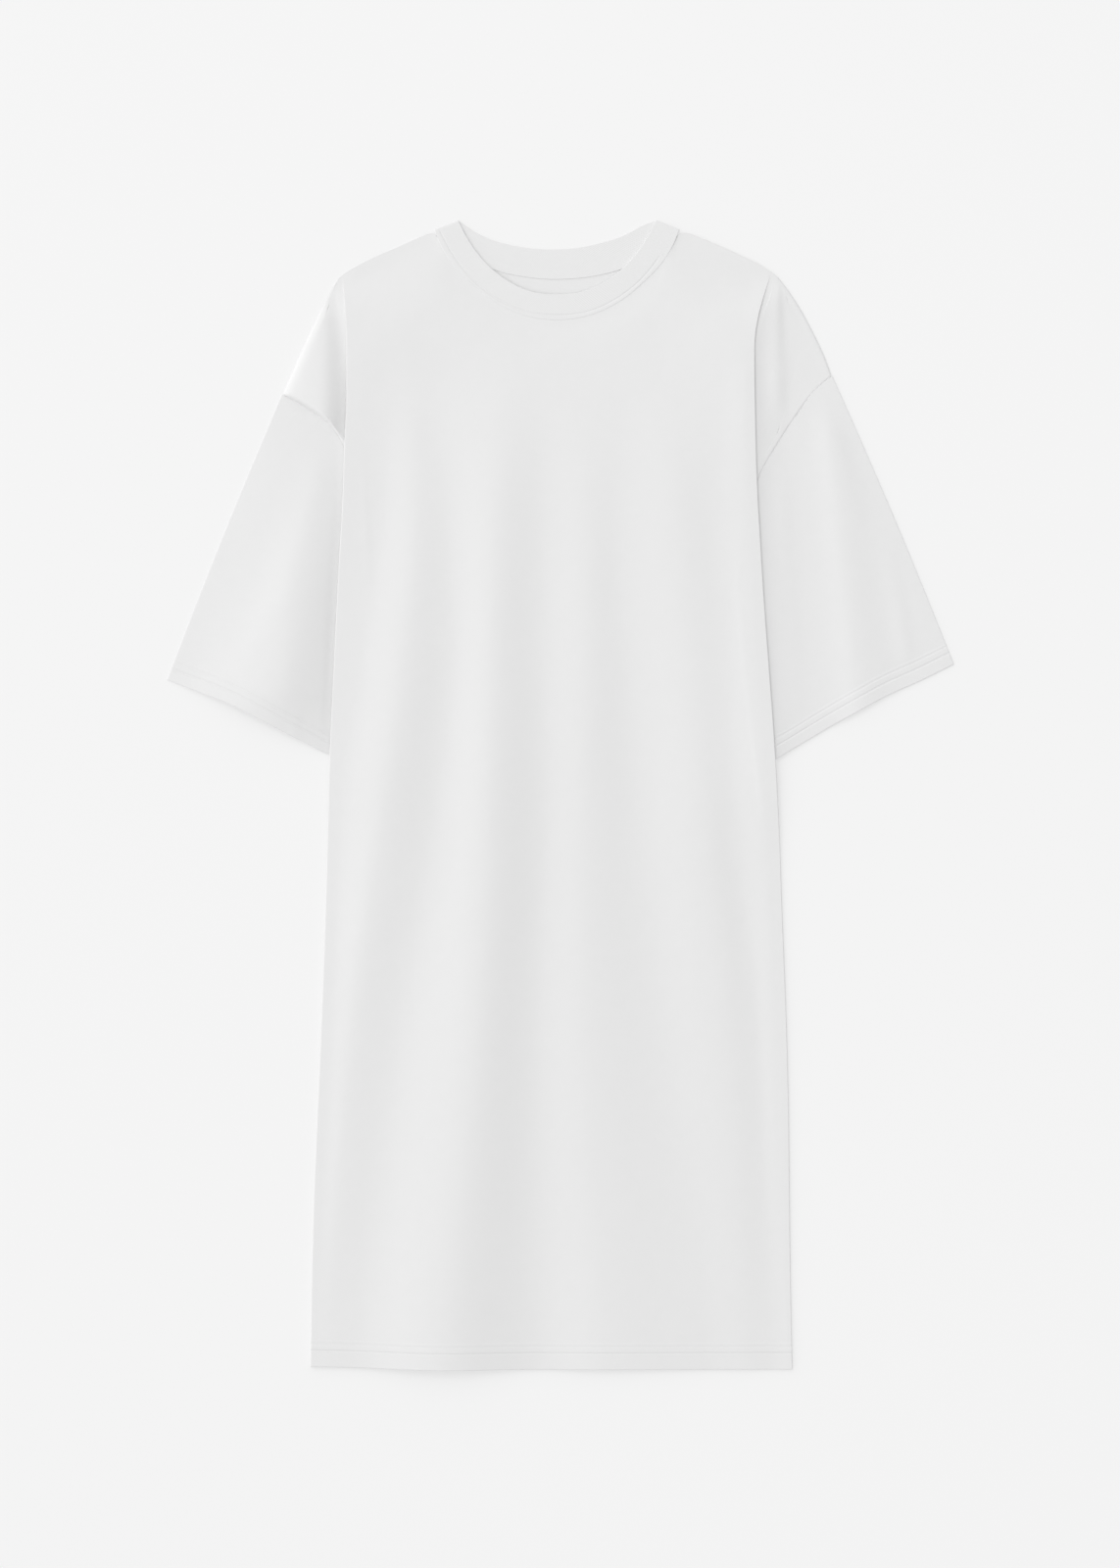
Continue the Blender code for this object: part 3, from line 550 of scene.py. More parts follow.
def spread(anchors, steps):
    """Places between anchors, each stretch cut in its own number of steps, both ends included."""
    places = [anchors[0]]
    for n, (a, b, count) in enumerate(zip(anchors, anchors[1:], steps)):
        shares = [(k + 1) / count for k in range(count)]
        if n == 0:
            shares = [share**EDGE_CROWDING for share in shares]
        if n == len(steps) - 1:
            shares = [1.0 - (1.0 - share) ** EDGE_CROWDING for share in shares]
        places += [mix(a, b, share) for share in shares]
    return places


def body_anchors(face, y):
    left = TURN_RADIUS - fold_edge("left", y)
    right = fold_edge("right", y) - TURN_RADIUS
    if face == "back":
        left += back_inset("left", y)
        right -= back_inset("right", y)
    width = right - left
    return [left] + [left + share * width for share in MAIN_ANCHORS] + [right]


def top_places(face, steps):
    """The top row of a panel between its shoulder tips: shoulder, neckline, shoulder."""
    table = NECK_FRONT if face == "front" else NECK_BACK
    neck = neck_path(table, "seam")
    neck_steps = sum(steps[1:-1])
    places = []
    for side, sign, count in (("left", -1.0, steps[0]), ("right", 1.0, steps[-1])):
        corner = shoulder_width(side, SHOULDER[0][0])
        tip = fold_edge(side, FOLD_RISE_TOP_Y)
        stretch = []
        for k in range(count):
            outward = mix(tip, corner, (k / count) ** EDGE_CROWDING)
            stretch.append((sign * outward, shoulder_height(side, outward)))
        if side == "left":
            places += stretch + [neck.at(k / neck_steps) for k in range(neck_steps + 1)]
        else:
            places += stretch[::-1]
    return places


def hem_drop(x):
    return HEM_LEFT_RISE * (1.0 - smooth((x + fold_edge("left", HEM_Y)) / HEM_RISE_WIDTH))


def shoulder_row(face, i, top, chest):
    """One row of a panel across the shoulders, from its left outer edge to its right one."""
    last = len(top) - 1
    ends = {}
    for side, j in (("left", 0), ("right", last)):
        share = TOP_SHARES[side][i]
        y_main = mix(top[j][1], CHEST_Y, share)
        y_edge = mix(SHOULDER_TIP_Y[side], CHEST_Y, share)
        section = side_section(side, face, y_main, y_edge, True)
        ends[side] = []
        for k, (outward, z) in enumerate(section):
            y = shoulder_height(side, outward) if i == 0 else mix(y_edge, y_main, k / (len(section) - 1))
            ends[side].append((SIDES[side] * outward, y, z))
    left_share = TOP_SHARES["left"][i]
    right_share = TOP_SHARES["right"][i]
    left_pull = ends["left"][-1][0] - mix(top[0][0], chest[0], left_share)
    right_pull = ends["right"][-1][0] - mix(top[-1][0], chest[-1], right_share)
    row = []
    for j, (x_top, y_top) in enumerate(top):
        across = j / last
        share = mix(left_share, right_share, across)
        x = mix(x_top, chest[j], share) + left_pull * (1 - across) ** PULL_POWER
        x += right_pull * across**PULL_POWER
        y = mix(y_top, CHEST_Y, share)
        row.append((x, y, main_height(face, x, y, share, j, last)))
    return ends["left"][:-1] + row + ends["right"][-2::-1]


def body_row(face, y, steps):
    """One row of a panel below the shoulders. Below the armpit its outermost places are empty."""
    row = [(x, y, main_height(face, x, y, 1.0, 0, 0)) for x in spread(body_anchors(face, y), steps)]
    for side, sign in SIDES.items():
        section = side_section(side, face, y, y, y >= ARMPIT_Y)
        points = [(sign * outward, y, z) for outward, z in section[:-1]]
        if y < ARMPIT_Y:
            points = [None] * HIDDEN_STEPS + points
        row = points + row if side == "left" else row + points[::-1]
    drop = smooth((y - HEM_RISE_FROM_Y) / (HEM_Y - HEM_RISE_FROM_Y))
    return [p and (p[0], p[1] + drop * hem_drop(p[0]), p[2]) for p in row]


def panel_rows(face):
    """The panel as rows of points across it, from the shoulders down to the hem."""
    steps = MAIN_STEPS_FRONT if face == "front" else MAIN_STEPS_BACK
    top = top_places(face, steps)
    chest = spread(body_anchors(face, CHEST_Y), steps)
    rows = [shoulder_row(face, i, top, chest) for i in range(len(TOP_SHARES["left"]))]
    return rows + [body_row(face, y, steps) for y in ARMHOLE_ROWS + SKIRT_ROWS]


def main_height(face, x, y, share, j, last_column):
    """Middle of a panel's wall between its fold edges, with the rise to the neck seam."""
    if face == "back":
        return FLOOR_LEVEL
    height = front_height(x, y)
    if share >= 1.0:
        return height
    first = MAIN_STEPS_FRONT[0]
    last = last_column - MAIN_STEPS_FRONT[-1]
    along = (j - first) / (last - first)
    top = FRONT_LEVEL + NECK_RAISE * smooth(min(along, 1.0 - along) * NECK_RAISE_ENDS)
    inside = min(x + fold_edge("left", y), fold_edge("right", y) - x)
    raised = mix(top, height, smooth(share / NECK_RAISE_SHARE))
    return mix(height, raised, smooth(inside / NECK_RAISE_FROM_FOLD))


def crossing(edge, side, offset):
    """The share of a sleeve's armhole or cuff at which it comes that close to the body's fold edge."""
    return edge.share_where(lambda point: point[0] <= fold_edge(side, point[1]) + offset)


def sleeve_lines(side):
    """Each line that runs down the sleeve, as a function of t, from the top edge to the hidden edge."""
    hole = Path([(outward, y) for y, outward in ARMHOLES[side]])
    cuff = Path(CUFF[side])

    def edge_line(share, bow):
        a = hole.at(share)
        c = cuff.at(share)
        return lambda t: (mix(a[0], c[0], t) + bow * math.sin(math.pi * t), mix(a[1], c[1], t))

    def shares(offset):
        return crossing(hole, side, offset), crossing(cuff, side, offset)

    def at_offset(offset):
        """The line that runs at a fixed distance outside the body's fold edge."""
        on_hole, on_cuff = shares(offset)
        a = hole.at(on_hole)
        c = cuff.at(on_cuff)

        def line(t):
            y = mix(a[1], c[1], t)
            return fold_edge(side, y) + mix(a[0] - fold_edge(side, a[1]), c[0] - fold_edge(side, c[1]), t), y
        return line

    def between(first, second, part, on_hole, on_cuff):
        """A line part of the way from one to another, with its own ends on the armhole and the cuff."""
        def plain(t):
            return [mix(a, b, part) for a, b in zip(first(t), second(t))]

        start = [wanted - found for wanted, found in zip(hole.at(on_hole), plain(0.0))]
        end = [wanted - found for wanted, found in zip(cuff.at(on_cuff), plain(1.0))]
        return lambda t: tuple(
            value + start[n] * (1 - t) ** 2 + end[n] * t**2 for n, value in enumerate(plain(t))
        )

    lines = [edge_line(0.0, SLEEVE_BOW)]
    outer = at_offset(CLIMB_OFFSETS[side][0])
    on_hole, on_cuff = shares(CLIMB_OFFSETS[side][0])
    for k in range(1, SLEEVE_OPEN_STEPS):
        part = k / SLEEVE_OPEN_STEPS
        lines.append(between(lines[0], outer, part, on_hole * part, on_cuff * part))
    lines += [at_offset(offset) for offset in CLIMB_OFFSETS[side]]
    last = lines[-1]
    hidden = edge_line(1.0, 0.0)
    on_hole, on_cuff = shares(CLIMB_OFFSETS[side][-1])
    for k in range(1, SLEEVE_HIDDEN_STEPS):
        part = k / SLEEVE_HIDDEN_STEPS
        lines.append(between(last, hidden, part, mix(on_hole, 1.0, part), mix(on_cuff, 1.0, part)))
    return lines + [hidden]


def sleeve_rows(side):
    """Rings from the armhole to the cuff: upper layer, hidden edge, lower layer, outer edge."""
    sign = SIDES[side]
    lines = sleeve_lines(side)
    rows = []
    for t in SLEEVE_PLACES:
        plan = [line(t) for line in lines]
        upper = []
        lower = []
        for k, (outward, y) in enumerate(plan):
            rise = climb(side, outward, y)
            lower.append((sign * outward, y, FLOOR_LEVEL + rise))
            part = min(1.0, k / SLEEVE_OPEN_COLUMNS)
            puff = smooth(t / SLEEVE_PUFF_PLACE) * SLEEVE_PUFF[side]
            puff *= math.sin(math.pi * part) ** SLEEVE_PUFF_POWER
            upper.append((sign * outward, y, FRONT_LEVEL + rise + beside_body(side, outward, y) * puff))
        outer_turn = tube_turn(lines[0], t, plan[0], 1.0, lower[0][2], upper[0][2], sign)
        inner_turn = tube_turn(lines[-1], t, plan[-1], -1.0, lower[-1][2], upper[-1][2], sign)
        ring = upper + inner_turn[::-1] + lower[::-1] + outer_turn
        rows.append(ring + [ring[0]])
    return rows


def beside_body(side, outward, y):
    """1 where the sleeve lies free beside the body, 0 where the body's fold covers it."""
    return smooth((outward - fold_edge(side, y) + BESIDE_BODY_START) / BESIDE_BODY_WIDTH)


def folds_beside_body(ridges, side, x, y, reach):
    """Height of soft folds, brought down within reach of the body's fold edge to nothing under it."""
    edge = fold_edge(side, y)
    foot = ridge_height(ridges, SIDES[side] * edge, y)
    return max(0.0, ridge_height(ridges, x, y) - foot * smooth(1.0 - (abs(x) - edge) / reach))


def shifted(point, towards, distance):
    length = math.dist(point, towards)
    return tuple(mix(point[n], towards[n], distance / length) for n in range(2))


def tube_turn(line, t, edge, outward, low, high, sign):
    """The round edge of a flattened tube, from its lower to its upper layer, square to the edge line."""
    before = line(max(0.0, t - TANGENT_STEP))
    after = line(min(1.0, t + TANGENT_STEP))
    length = math.dist(before, after)
    away = ((before[1] - after[1]) / length * outward, (after[0] - before[0]) / length * outward)
    points = []
    for out, up in HALF_TURN:
        reach = TURN_RADIUS * out
        points.append((sign * (edge[0] + away[0] * reach), edge[1] + away[1] * reach, mix(low, high, up)))
    return points


def band_rows():
    """Rings of the neck band, from the seam to the free edge, each once around the neck."""
    back_level = BAND_WALL / 2 + BAND_CLEARANCE
    front_level = back_level + 2 * BAND_TURN_RADIUS
    front_steps = 2 * sum(MAIN_STEPS_FRONT[1:-1])
    back_steps = 2 * sum(MAIN_STEPS_BACK[1:-1])
    curves = {
        "front": (neck_path(NECK_FRONT, "seam"), neck_path(NECK_FRONT, "free")),
        "back": (neck_path(NECK_BACK, "seam"), neck_path(NECK_BACK, "free", BACK_NECK_TILT)),
    }

    def place(half, share, across):
        seam, free = (curve.at(share) for curve in curves[half])
        return [mix(seam[n], free[n], across) for n in range(2)]

    def fold_direction(share):
        seam, free = (curve.at(share) for curve in curves["front"])
        length = math.dist(seam, free)
        along = [(free[n] - seam[n]) / length for n in range(2)]
        side = 1.0 if share < 0.5 else -1.0
        return -along[1] * side, along[0] * side

    rows = []
    for across in BAND_CROSS:
        ring = []
        for k in range(front_steps + 1):
            share = k / front_steps
            lift = BAND_FRONT_LIFT * across * smooth(math.sin(math.pi * share))
            ring.append((*place("front", beside_fold(share), across), front_level + lift))
        ring += band_turn(place("front", 1.0, across), fold_direction(1.0), front_level, back_level)
        for k in range(back_steps, -1, -1):
            ring.append((*place("back", beside_fold(k / back_steps), across), back_level))
        ring += band_turn(place("front", 0.0, across), fold_direction(0.0), back_level, front_level)
        rows.append(ring + [ring[0]])
    return rows


def beside_fold(share):
    """Keeps the flat parts of the band clear of its fold on each shoulder."""
    return min(1.0 - BAND_TURN_SHARE, max(BAND_TURN_SHARE, share))


def band_turn(place, out, start, end):
    """The band's fold on a shoulder, from one of its layers to the other."""
    points = []
    for bulge, up in HALF_TURN:
        reach = BAND_TURN_RADIUS * (bulge - 1.0)
        points.append((place[0] + out[0] * reach, place[1] + out[1] * reach, mix(start, end, up)))
    return points


def arc_lengths(points):
    """Running length along a line of points, skipping the places that have none."""
    lengths = []
    total = 0.0
    last = None
    for point in points:
        if point is not None and last is not None:
            total += math.dist(point, last)
        if point is not None:
            last = point
        lengths.append(total)
    return lengths


def cage(name, rows, closed):
    """A mesh through rows of points, with the cloth's own lengths in metres as its UV map.

    A closed cage's last column repeats its first. A place of the grid (column, row) is kept in a second map.
    """
    grid = bmesh.new()
    cloth_map = grid.loops.layers.uv.new("Cloth")
    place_map = grid.loops.layers.uv.new("Place")
    across = len(rows[0])
    middle = across // 2
    us = []
    for row in rows:
        lengths = arc_lengths(row)
        us.append([length - lengths[middle] for length in lengths])
    columns = [arc_lengths([row[c] for row in rows][::-1])[::-1] for c in range(across)]
    verts = []
    for row in rows:
        points = row[:-1] if closed else row
        made = [point and grid.verts.new([value * MM for value in point]) for point in points]
        verts.append(made + made[:1] if closed else made)
    for r in range(len(rows) - 1):
        for c in range(across - 1):
            corners = ((r, c), (r + 1, c), (r + 1, c + 1), (r, c + 1))
            if any(verts[i][j] is None for i, j in corners):
                continue
            face = grid.faces.new([verts[i][j] for i, j in corners])
            face.smooth = True
            for loop, (i, j) in zip(face.loops, corners):
                loop[cloth_map].uv = (us[i][j] * MM, columns[j][i] * MM)
                loop[place_map].uv = (j, i)
    mesh = bpy.data.meshes.new(name)
    grid.to_mesh(mesh)
    grid.free()
    return add_object(name, mesh)


def add_object(name, data):
    made = bpy.data.objects.new(name, data)
    bpy.context.scene.collection.objects.link(made)
    return made


def settle(piece):
    """Applies what modifiers a piece has, so that it is a plain mesh."""
    graph = bpy.context.evaluated_depsgraph_get()
    shape = piece.evaluated_get(graph)
    made = bpy.data.meshes.new_from_object(shape, preserve_all_data_layers=True, depsgraph=graph)
    old = piece.data
    name = old.name
    piece.modifiers.clear()
    piece.data = made
    bpy.data.meshes.remove(old)
    made.name = name
    return piece


def finished_with(piece, name, kind, **settings):
    """The piece with one more modifier, applied."""
    modifier = piece.modifiers.new(name, kind)
    for setting, value in settings.items():
        setattr(modifier, setting, value)
    return settle(piece)


def subdivide(piece):
    return finished_with(
        piece, "Soft form", "SUBSURF",
        levels=2, render_levels=2, uv_smooth="NONE", boundary_smooth="PRESERVE_CORNERS",
    )


def thicken(piece, wall):
    return finished_with(
        piece, "Cloth wall", "SOLIDIFY", thickness=wall, offset=0.0, use_quality_normals=True,
    )


def grid_places(mesh):
    """For each vertex, its column and row in the grid that the piece was made from."""
    loops = np.empty(len(mesh.loops), int)
    mesh.loops.foreach_get("vertex_index", loops)
    flat = np.empty(len(mesh.loops) * 2)
    mesh.uv_layers["Place"].data.foreach_get("uv", flat)
    places = np.zeros((len(mesh.vertices), 2))
    places[loops] = flat.reshape(-1, 2)
    return places


def reshape(piece, change):
    """Moves a piece's vertices. change(column, row, x, y, z), in millimetres, returns the new place."""
    mesh = piece.data
    places = grid_places(mesh)
    flat = np.empty(len(mesh.vertices) * 3)
    mesh.vertices.foreach_get("co", flat)
    points = flat.reshape(-1, 3) / MM
    for k, (point, place) in enumerate(zip(points, places)):
        points[k] = change(place[0], place[1], *point)
    mesh.vertices.foreach_set("co", (points * MM).ravel())
    mesh.update()


class Wire:
    """A shader socket that takes part in sums: each operation adds its Math node."""

    def __init__(self, tree, socket):
        self.tree = tree
        self.socket = socket

    def math(self, operation, a, b):
        return add_node(self.tree, "ShaderNodeMath", {"operation": operation}, {0: a, 1: b})

    def __add__(self, other):
        return self.math("ADD", self, other)

    def __sub__(self, other):
        return self.math("SUBTRACT", self, other)

    def __rsub__(self, other):
        return self.math("SUBTRACT", other, self)

    def __mul__(self, other):
        return self.math("MULTIPLY", self, other)

    __radd__ = __add__
    __rmul__ = __mul__

    def wave(self, length):
        """A sine of the value that repeats at each length, from -1 to 1."""
        return self.math("SINE", self * (2.0 * math.pi / length), 0.0)

    def zigzag(self, length):
        """Goes up and down between 0 and 1 once in each length."""
        return self.math("PINGPONG", self * (2.0 / length), 1.0)

    def bell(self, at, width):
        """1 where the value is at a place, fading to 0 at width to both sides."""
        away = self.math("ABSOLUTE", self - at, 0.0)
        return self.ramp(away, width, 0.0)

    def ramp(self, value, low, high):
        """0 where value is low and 1 where it is high, with soft ends."""
        return add_node(
            self.tree, "ShaderNodeMapRange", {"interpolation_type": "SMOOTHSTEP"},
            {"Value": value, "From Min": low, "From Max": high},
        )


def add_node(tree, kind, settings, sockets, output=0):
    """Adds one node: its settings first, then the values or links of its sockets."""
    made = tree.nodes.new(kind)
    for name, value in settings.items():
        setattr(made, name, value)
    for key, value in sockets.items():
        if isinstance(value, Wire):
            tree.links.new(value.socket, made.inputs[key])
        else:
            made.inputs[key].default_value = value
    return Wire(tree, made.outputs[output])


def set_sockets(node, values):
    for name, value in values.items():
        node.inputs[name].default_value = value


def cloth_lengths(tree):
    """The two lengths of the cloth at a point: across the piece, and up from its lower edge."""
    where = add_node(tree, "ShaderNodeUVMap", {"uv_map": "Cloth"}, {})
    return [add_node(tree, "ShaderNodeSeparateXYZ", {}, {"Vector": where}, axis) for axis in "XY"]


def fibre_noise(tree, scale, detail):
    """Unevenness of the yarn at one scale, in turns per metre of the object."""
    at = add_node(tree, "ShaderNodeTexCoord", {}, {}, "Object")
    sockets = {"Vector": at, "Scale": scale, "Detail": detail, "Roughness": 0.6}
    return add_node(tree, "ShaderNodeTexNoise", {}, sockets, "Fac")


def cloth_material(name, colour, relief, relief_depth, mottling):
    """Matt cotton: colour with a little mottling, and a relief in metres from its own pattern."""
    made = bpy.data.materials.new(name)
    made.use_nodes = True
    tree = made.node_tree
    shader = tree.nodes["Principled BSDF"]
    set_sockets(shader, {
        "Roughness": 0.9, "Sheen Weight": 0.08, "Sheen Roughness": 0.6, "Specular IOR Level": 0.2,
    })
    height = relief(tree)
    uneven = fibre_noise(tree, MOTTLING_SCALE, 3.0)
    darker = [value * (1.0 - mottling) for value in colour[:3]] + [1.0]
    plain = tuple(colour[:3]) + (1.0,)
    tone = add_node(tree, "ShaderNodeMix", {"data_type": "RGBA"}, {"Factor": uneven, 6: darker, 7: plain}, 2)
    tree.links.new(tone.socket, shader.inputs["Base Color"])
    sockets = {"Height": height, "Strength": 1.0, "Distance": relief_depth}
    tree.links.new(add_node(tree, "ShaderNodeBump", {}, sockets, "Normal").socket, shader.inputs["Normal"])
    return made


# The knit and its relief: lengths in metres, heights as shares of each material's relief depth, and the
# scales of the yarn's unevenness in turns per metre
WALE = 0.0012
COURSE = 0.001
RIB = 0.0021
LEG_SLANT = 0.6
WALE_HEIGHT = 0.3
LEG_HEIGHT = 0.35
KNIT_HEIGHT = 0.1
RIB_HEIGHT = 0.1
FINE_SCALE = 70.0
FINE_HEIGHT = {"jersey": 0.5, "rib": 0.4}
WIDE_SCALE = 14.0
WIDE_HEIGHT = 1.6
GROOVE_HEIGHT = {"jersey": 0.9, "rib": 0.8}
HEM_STEP_HEIGHT = 0.9
THREAD_SCALE = 900.0
MOTTLING_SCALE = 90.0
GROOVE_WIDTH = 0.0016
NECK_GROOVE_WIDTH = 0.0013
NECK_GROOVE_FADE = 0.004
HEM_STEP_START = 0.5
HEM_STEP_END = 2.5


def jersey_relief(lines):
    """Fine V-shaped stitches in upright columns, soft unevenness, and the twin grooves of a hem."""
    def relief(tree):
        across, along = cloth_lengths(tree)
        leg = across.zigzag(WALE)
        slanted = (along + leg * (LEG_SLANT * COURSE)).wave(COURSE)
        knit = across.wave(WALE / 2) * WALE_HEIGHT + slanted * LEG_HEIGHT
        height = knit * KNIT_HEIGHT + fibre_noise(tree, FINE_SCALE, 2.0) * FINE_HEIGHT["jersey"]
        height = height + fibre_noise(tree, WIDE_SCALE, 2.0) * WIDE_HEIGHT
        for line in lines:
            height = height - along.bell(line * MM, GROOVE_WIDTH) * GROOVE_HEIGHT["jersey"]
        step = along.ramp(along, (lines[1] + HEM_STEP_START) * MM, (lines[1] + HEM_STEP_END) * MM)
        return height + (1.0 - step) * HEM_STEP_HEIGHT
    return relief


def rib_relief(tree):
    """Upright ribs across the band, and the groove of its stitches on its front half."""
    across, along = cloth_lengths(tree)
    height = across.wave(RIB) * RIB_HEIGHT + fibre_noise(tree, FINE_SCALE, 2.0) * FINE_HEIGHT["rib"]
    front_half = across.ramp(across, NECK_GROOVE_FADE, -NECK_GROOVE_FADE)
    groove = along.bell((BAND_WIDTH - BAND_STITCH_FROM_SEAM) * MM, NECK_GROOVE_WIDTH)
    return height - groove * front_half * GROOVE_HEIGHT["rib"]


def thread_relief(tree):
    return fibre_noise(tree, THREAD_SCALE, 2.0)


# For each material: which colour it takes, its relief, the depth of that relief in metres, and its mottling
LOOKS = {
    "jersey of the body": ("cloth_colour", jersey_relief(HEM_LINES), 0.0003, 0.02),
    "jersey of the sleeves": ("cloth_colour", jersey_relief(CUFF_LINES), 0.0003, 0.02),
    "rib knit of the neck band": ("cloth_colour", rib_relief, 0.0003, 0.02),
    "sewing thread": ("thread_colour", thread_relief, 0.0001, 0.04),
}


def look_of(name):
    """The material of that name, made when it is first asked for."""
    if name not in bpy.data.materials:
        colour, relief, depth, mottling = LOOKS[name]
        cloth_material(name, getattr(bpy.context.scene.dress_look, colour), relief, depth, mottling)
    return bpy.data.materials[name]


def declare(piece, node, look):
    """Gives a finished piece of cloth its material, hangs it under the frame's root and hides the CAD part
    that it stands for.
    """
    piece.data.materials.clear()
    piece.data.materials.append(look_of(look))
    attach(piece, "root")
    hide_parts(node)


def make_front(sizes):
    piece = subdivide(cage("front_cloth", panel_rows("front"), False))
    last_column = 2 * SIDE_STEPS + sum(MAIN_STEPS_FRONT)
    shoulder_rows = len(TOP_SHARES["left"])

    def change(c, r, x, y, z):
        side = "left" if x < 0 else "right"
        from_edge = min(c, last_column - c)
        if r < shoulder_rows + len(ARMHOLE_ROWS) and from_edge < OUTER_STEPS:
            folds = folds_beside_body(SHOULDER_RIDGES[side], side, x, y, SHOULDER_FOOT)
            z += folds * smooth(from_edge / SHOULDER_FOLD_COLUMNS)
            z -= SEAM_GROOVE[side] * (1.0 - smooth(from_edge / SEAM_GROOVE_COLUMNS))
        if from_edge >= SIDE_STEPS:
            z += fold_height(x, y) * smooth(r / FRONT_FOLD_ROWS)
            if r > shoulder_rows / 2:
                z = held_up(x, y, z)
        return x, y, z

    reshape(piece, change)
    return thicken(piece, sizes.wall)


def make_back(sizes):
    return thicken(subdivide(cage("back_cloth", panel_rows("back"), False)), sizes.wall)


def make_sleeve(side, sizes):
    piece = subdivide(cage("sleeve_" + side + "_cloth", sleeve_rows(side), True))

    def change(c, r, x, y, z):
        if c < SLEEVE_UPPER_COLUMNS:
            folds = folds_beside_body(SLEEVE_RIDGES[side], side, x, y, SLEEVE_FOOT)
            folds *= smooth(SLEEVE_FOLD_GROWTH * c / SLEEVE_OPEN_COLUMNS)
            z += folds * beside_body(side, SIDES[side] * x, y) * smooth(r / SLEEVE_FOLD_ROWS)
        return x, y, z

    reshape(piece, change)
    return thicken(piece, sizes.wall)


def make_band():
    piece = cage("neck_band", band_rows(), True)
    return subdivide(finished_with(piece, "Double rib", "SOLIDIFY", thickness=BAND_WALL * MM, offset=0.0))


def laid_on(piece, plans):
    """Each plan, (places, how deep the thread sinks in, from above), as points on the finished piece."""
    mesh = piece.data
    surface = BVHTree.FromPolygons([v.co for v in mesh.vertices], [p.vertices for p in mesh.polygons])
    lines = []
    for places, sink, from_above in plans:
        way = -1.0 if from_above else 1.0
        lines.append([])
        for x, y in places:
            hit = surface.ray_cast(Vector((x * MM, y * MM, -way * RAY_START)), Vector((0.0, 0.0, way)))[0]
            if hit is not None:
                z = hit.z - sink * MM if from_above else max(hit.z + sink * MM, sink * MM)
                lines[-1].append((hit.x, hit.y, z))
    return lines


def stitch_tree():
    """Geometry Nodes: stitches of one length and gap along each line of the input mesh."""
    tree = bpy.data.node_groups.new("Stitches", "GeometryNodeTree")
    for name, way, kind in (
        ("Geometry", "INPUT", "Geometry"), ("Geometry", "OUTPUT", "Geometry"), ("Pitch", "INPUT", "Float"),
        ("Length", "INPUT", "Float"), ("Radius", "INPUT", "Float"), ("Seed", "INPUT", "Int"),
        ("Thread", "INPUT", "Material"),
    ):
        tree.interface.new_socket(name, in_out=way, socket_type="NodeSocket" + kind)
    given = {socket.name: Wire(tree, socket) for socket in tree.nodes.new("NodeGroupInput").outputs}

    def step(kind, sockets, settings={}, output=0):
        return add_node(tree, kind, settings, sockets, output)

    line = step("GeometryNodeMeshToCurve", {"Mesh": given["Geometry"]})
    places = step("GeometryNodeResampleCurve", {"Curve": line, "Length": given["Pitch"]}, {"mode": "LENGTH"})
    bead = step("GeometryNodeMeshUVSphere", {"Segments": 8, "Rings": 5, "Radius": 1.0})
    radius = given["Radius"]
    size = step("ShaderNodeCombineXYZ", {"X": radius, "Y": radius, "Z": given["Length"] * 0.5})
    wobble = step(
        "FunctionNodeRandomValue", {2: 0.92, 3: 1.06, "Seed": given["Seed"]}, {"data_type": "FLOAT"}, 1,
    )
    size = step("ShaderNodeVectorMath", {0: size, "Scale": wobble}, {"operation": "SCALE"})
    tangent = step("GeometryNodeInputTangent", {})
    aim = step("FunctionNodeAlignRotationToVector", {"Vector": tangent}, {"axis": "Z"})
    laid = step(
        "GeometryNodeInstanceOnPoints", {"Points": places, "Instance": bead, "Rotation": aim, "Scale": size},
    )
    real = step("GeometryNodeRealizeInstances", {"Geometry": laid})
    done = step("GeometryNodeSetMaterial", {"Geometry": real, "Material": given["Thread"]})
    tree.links.new(done.socket, tree.nodes.new("NodeGroupOutput").inputs["Geometry"])
    return tree


def sew(name, lines, sizes):
    """A piece of thread: stitches along each of the given lines."""
    mesh = bpy.data.meshes.new(name)
    verts = [point for line in lines for point in line]
    edges = []
    start = 0
    for line in lines:
        edges += [(start + k, start + k + 1) for k in range(len(line) - 1)]
        start += len(line)
    mesh.from_pydata(verts, edges, [])
    piece = add_object(name, mesh)
    tree = bpy.data.node_groups.get("Stitches") or stitch_tree()
    stitching = piece.modifiers.new("Stitching", "NODES")
    stitching.node_group = tree
    values = {
        "Pitch": sizes.stitch_pitch,
        "Length": sizes.stitch_length,
        "Radius": sizes.thread / 2,
        "Seed": 7,
        "Thread": look_of("sewing thread"),
    }
    for item in tree.interface.items_tree:
        if item.in_out == "INPUT" and item.name in values:
            stitching[item.identifier] = values[item.name]
    settle(piece)
    piece.data.shade_smooth()
    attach(piece, "root")
    return piece


def along_hem(from_edge, count):
    """Places of the plan along the hem, at a distance up from its edge."""
    left = HEM_STITCHES_FROM_FOLD - fold_edge("left", HEM_Y)
    right = fold_edge("right", HEM_Y) - HEM_STITCHES_FROM_FOLD
    xs = [mix(left, right, k / count) for k in range(count + 1)]
    return [(x, HEM_Y + hem_drop(x) + from_edge) for x in xs]


def along_cuff(side, from_edge, count):
    """Places of the plan along the cuff of a sleeve, at a distance up from its edge."""
    cuff = Path(CUFF[side])
    places = []
    for k in range(count + 1):
        share = mix(CUFF_STITCHES_FROM_END, 1.0 - CUFF_STITCHES_FROM_END, k / count)
        before = cuff.at(max(0.0, share - TANGENT_STEP))
        after = cuff.at(min(1.0, share + TANGENT_STEP))
        length = math.dist(before, after)
        up = ((after[1] - before[1]) / length, (before[0] - after[0]) / length)
        outward, y = (value + direction * from_edge for value, direction in zip(cuff.at(share), up))
        places.append((SIDES[side] * outward, y))
    return places


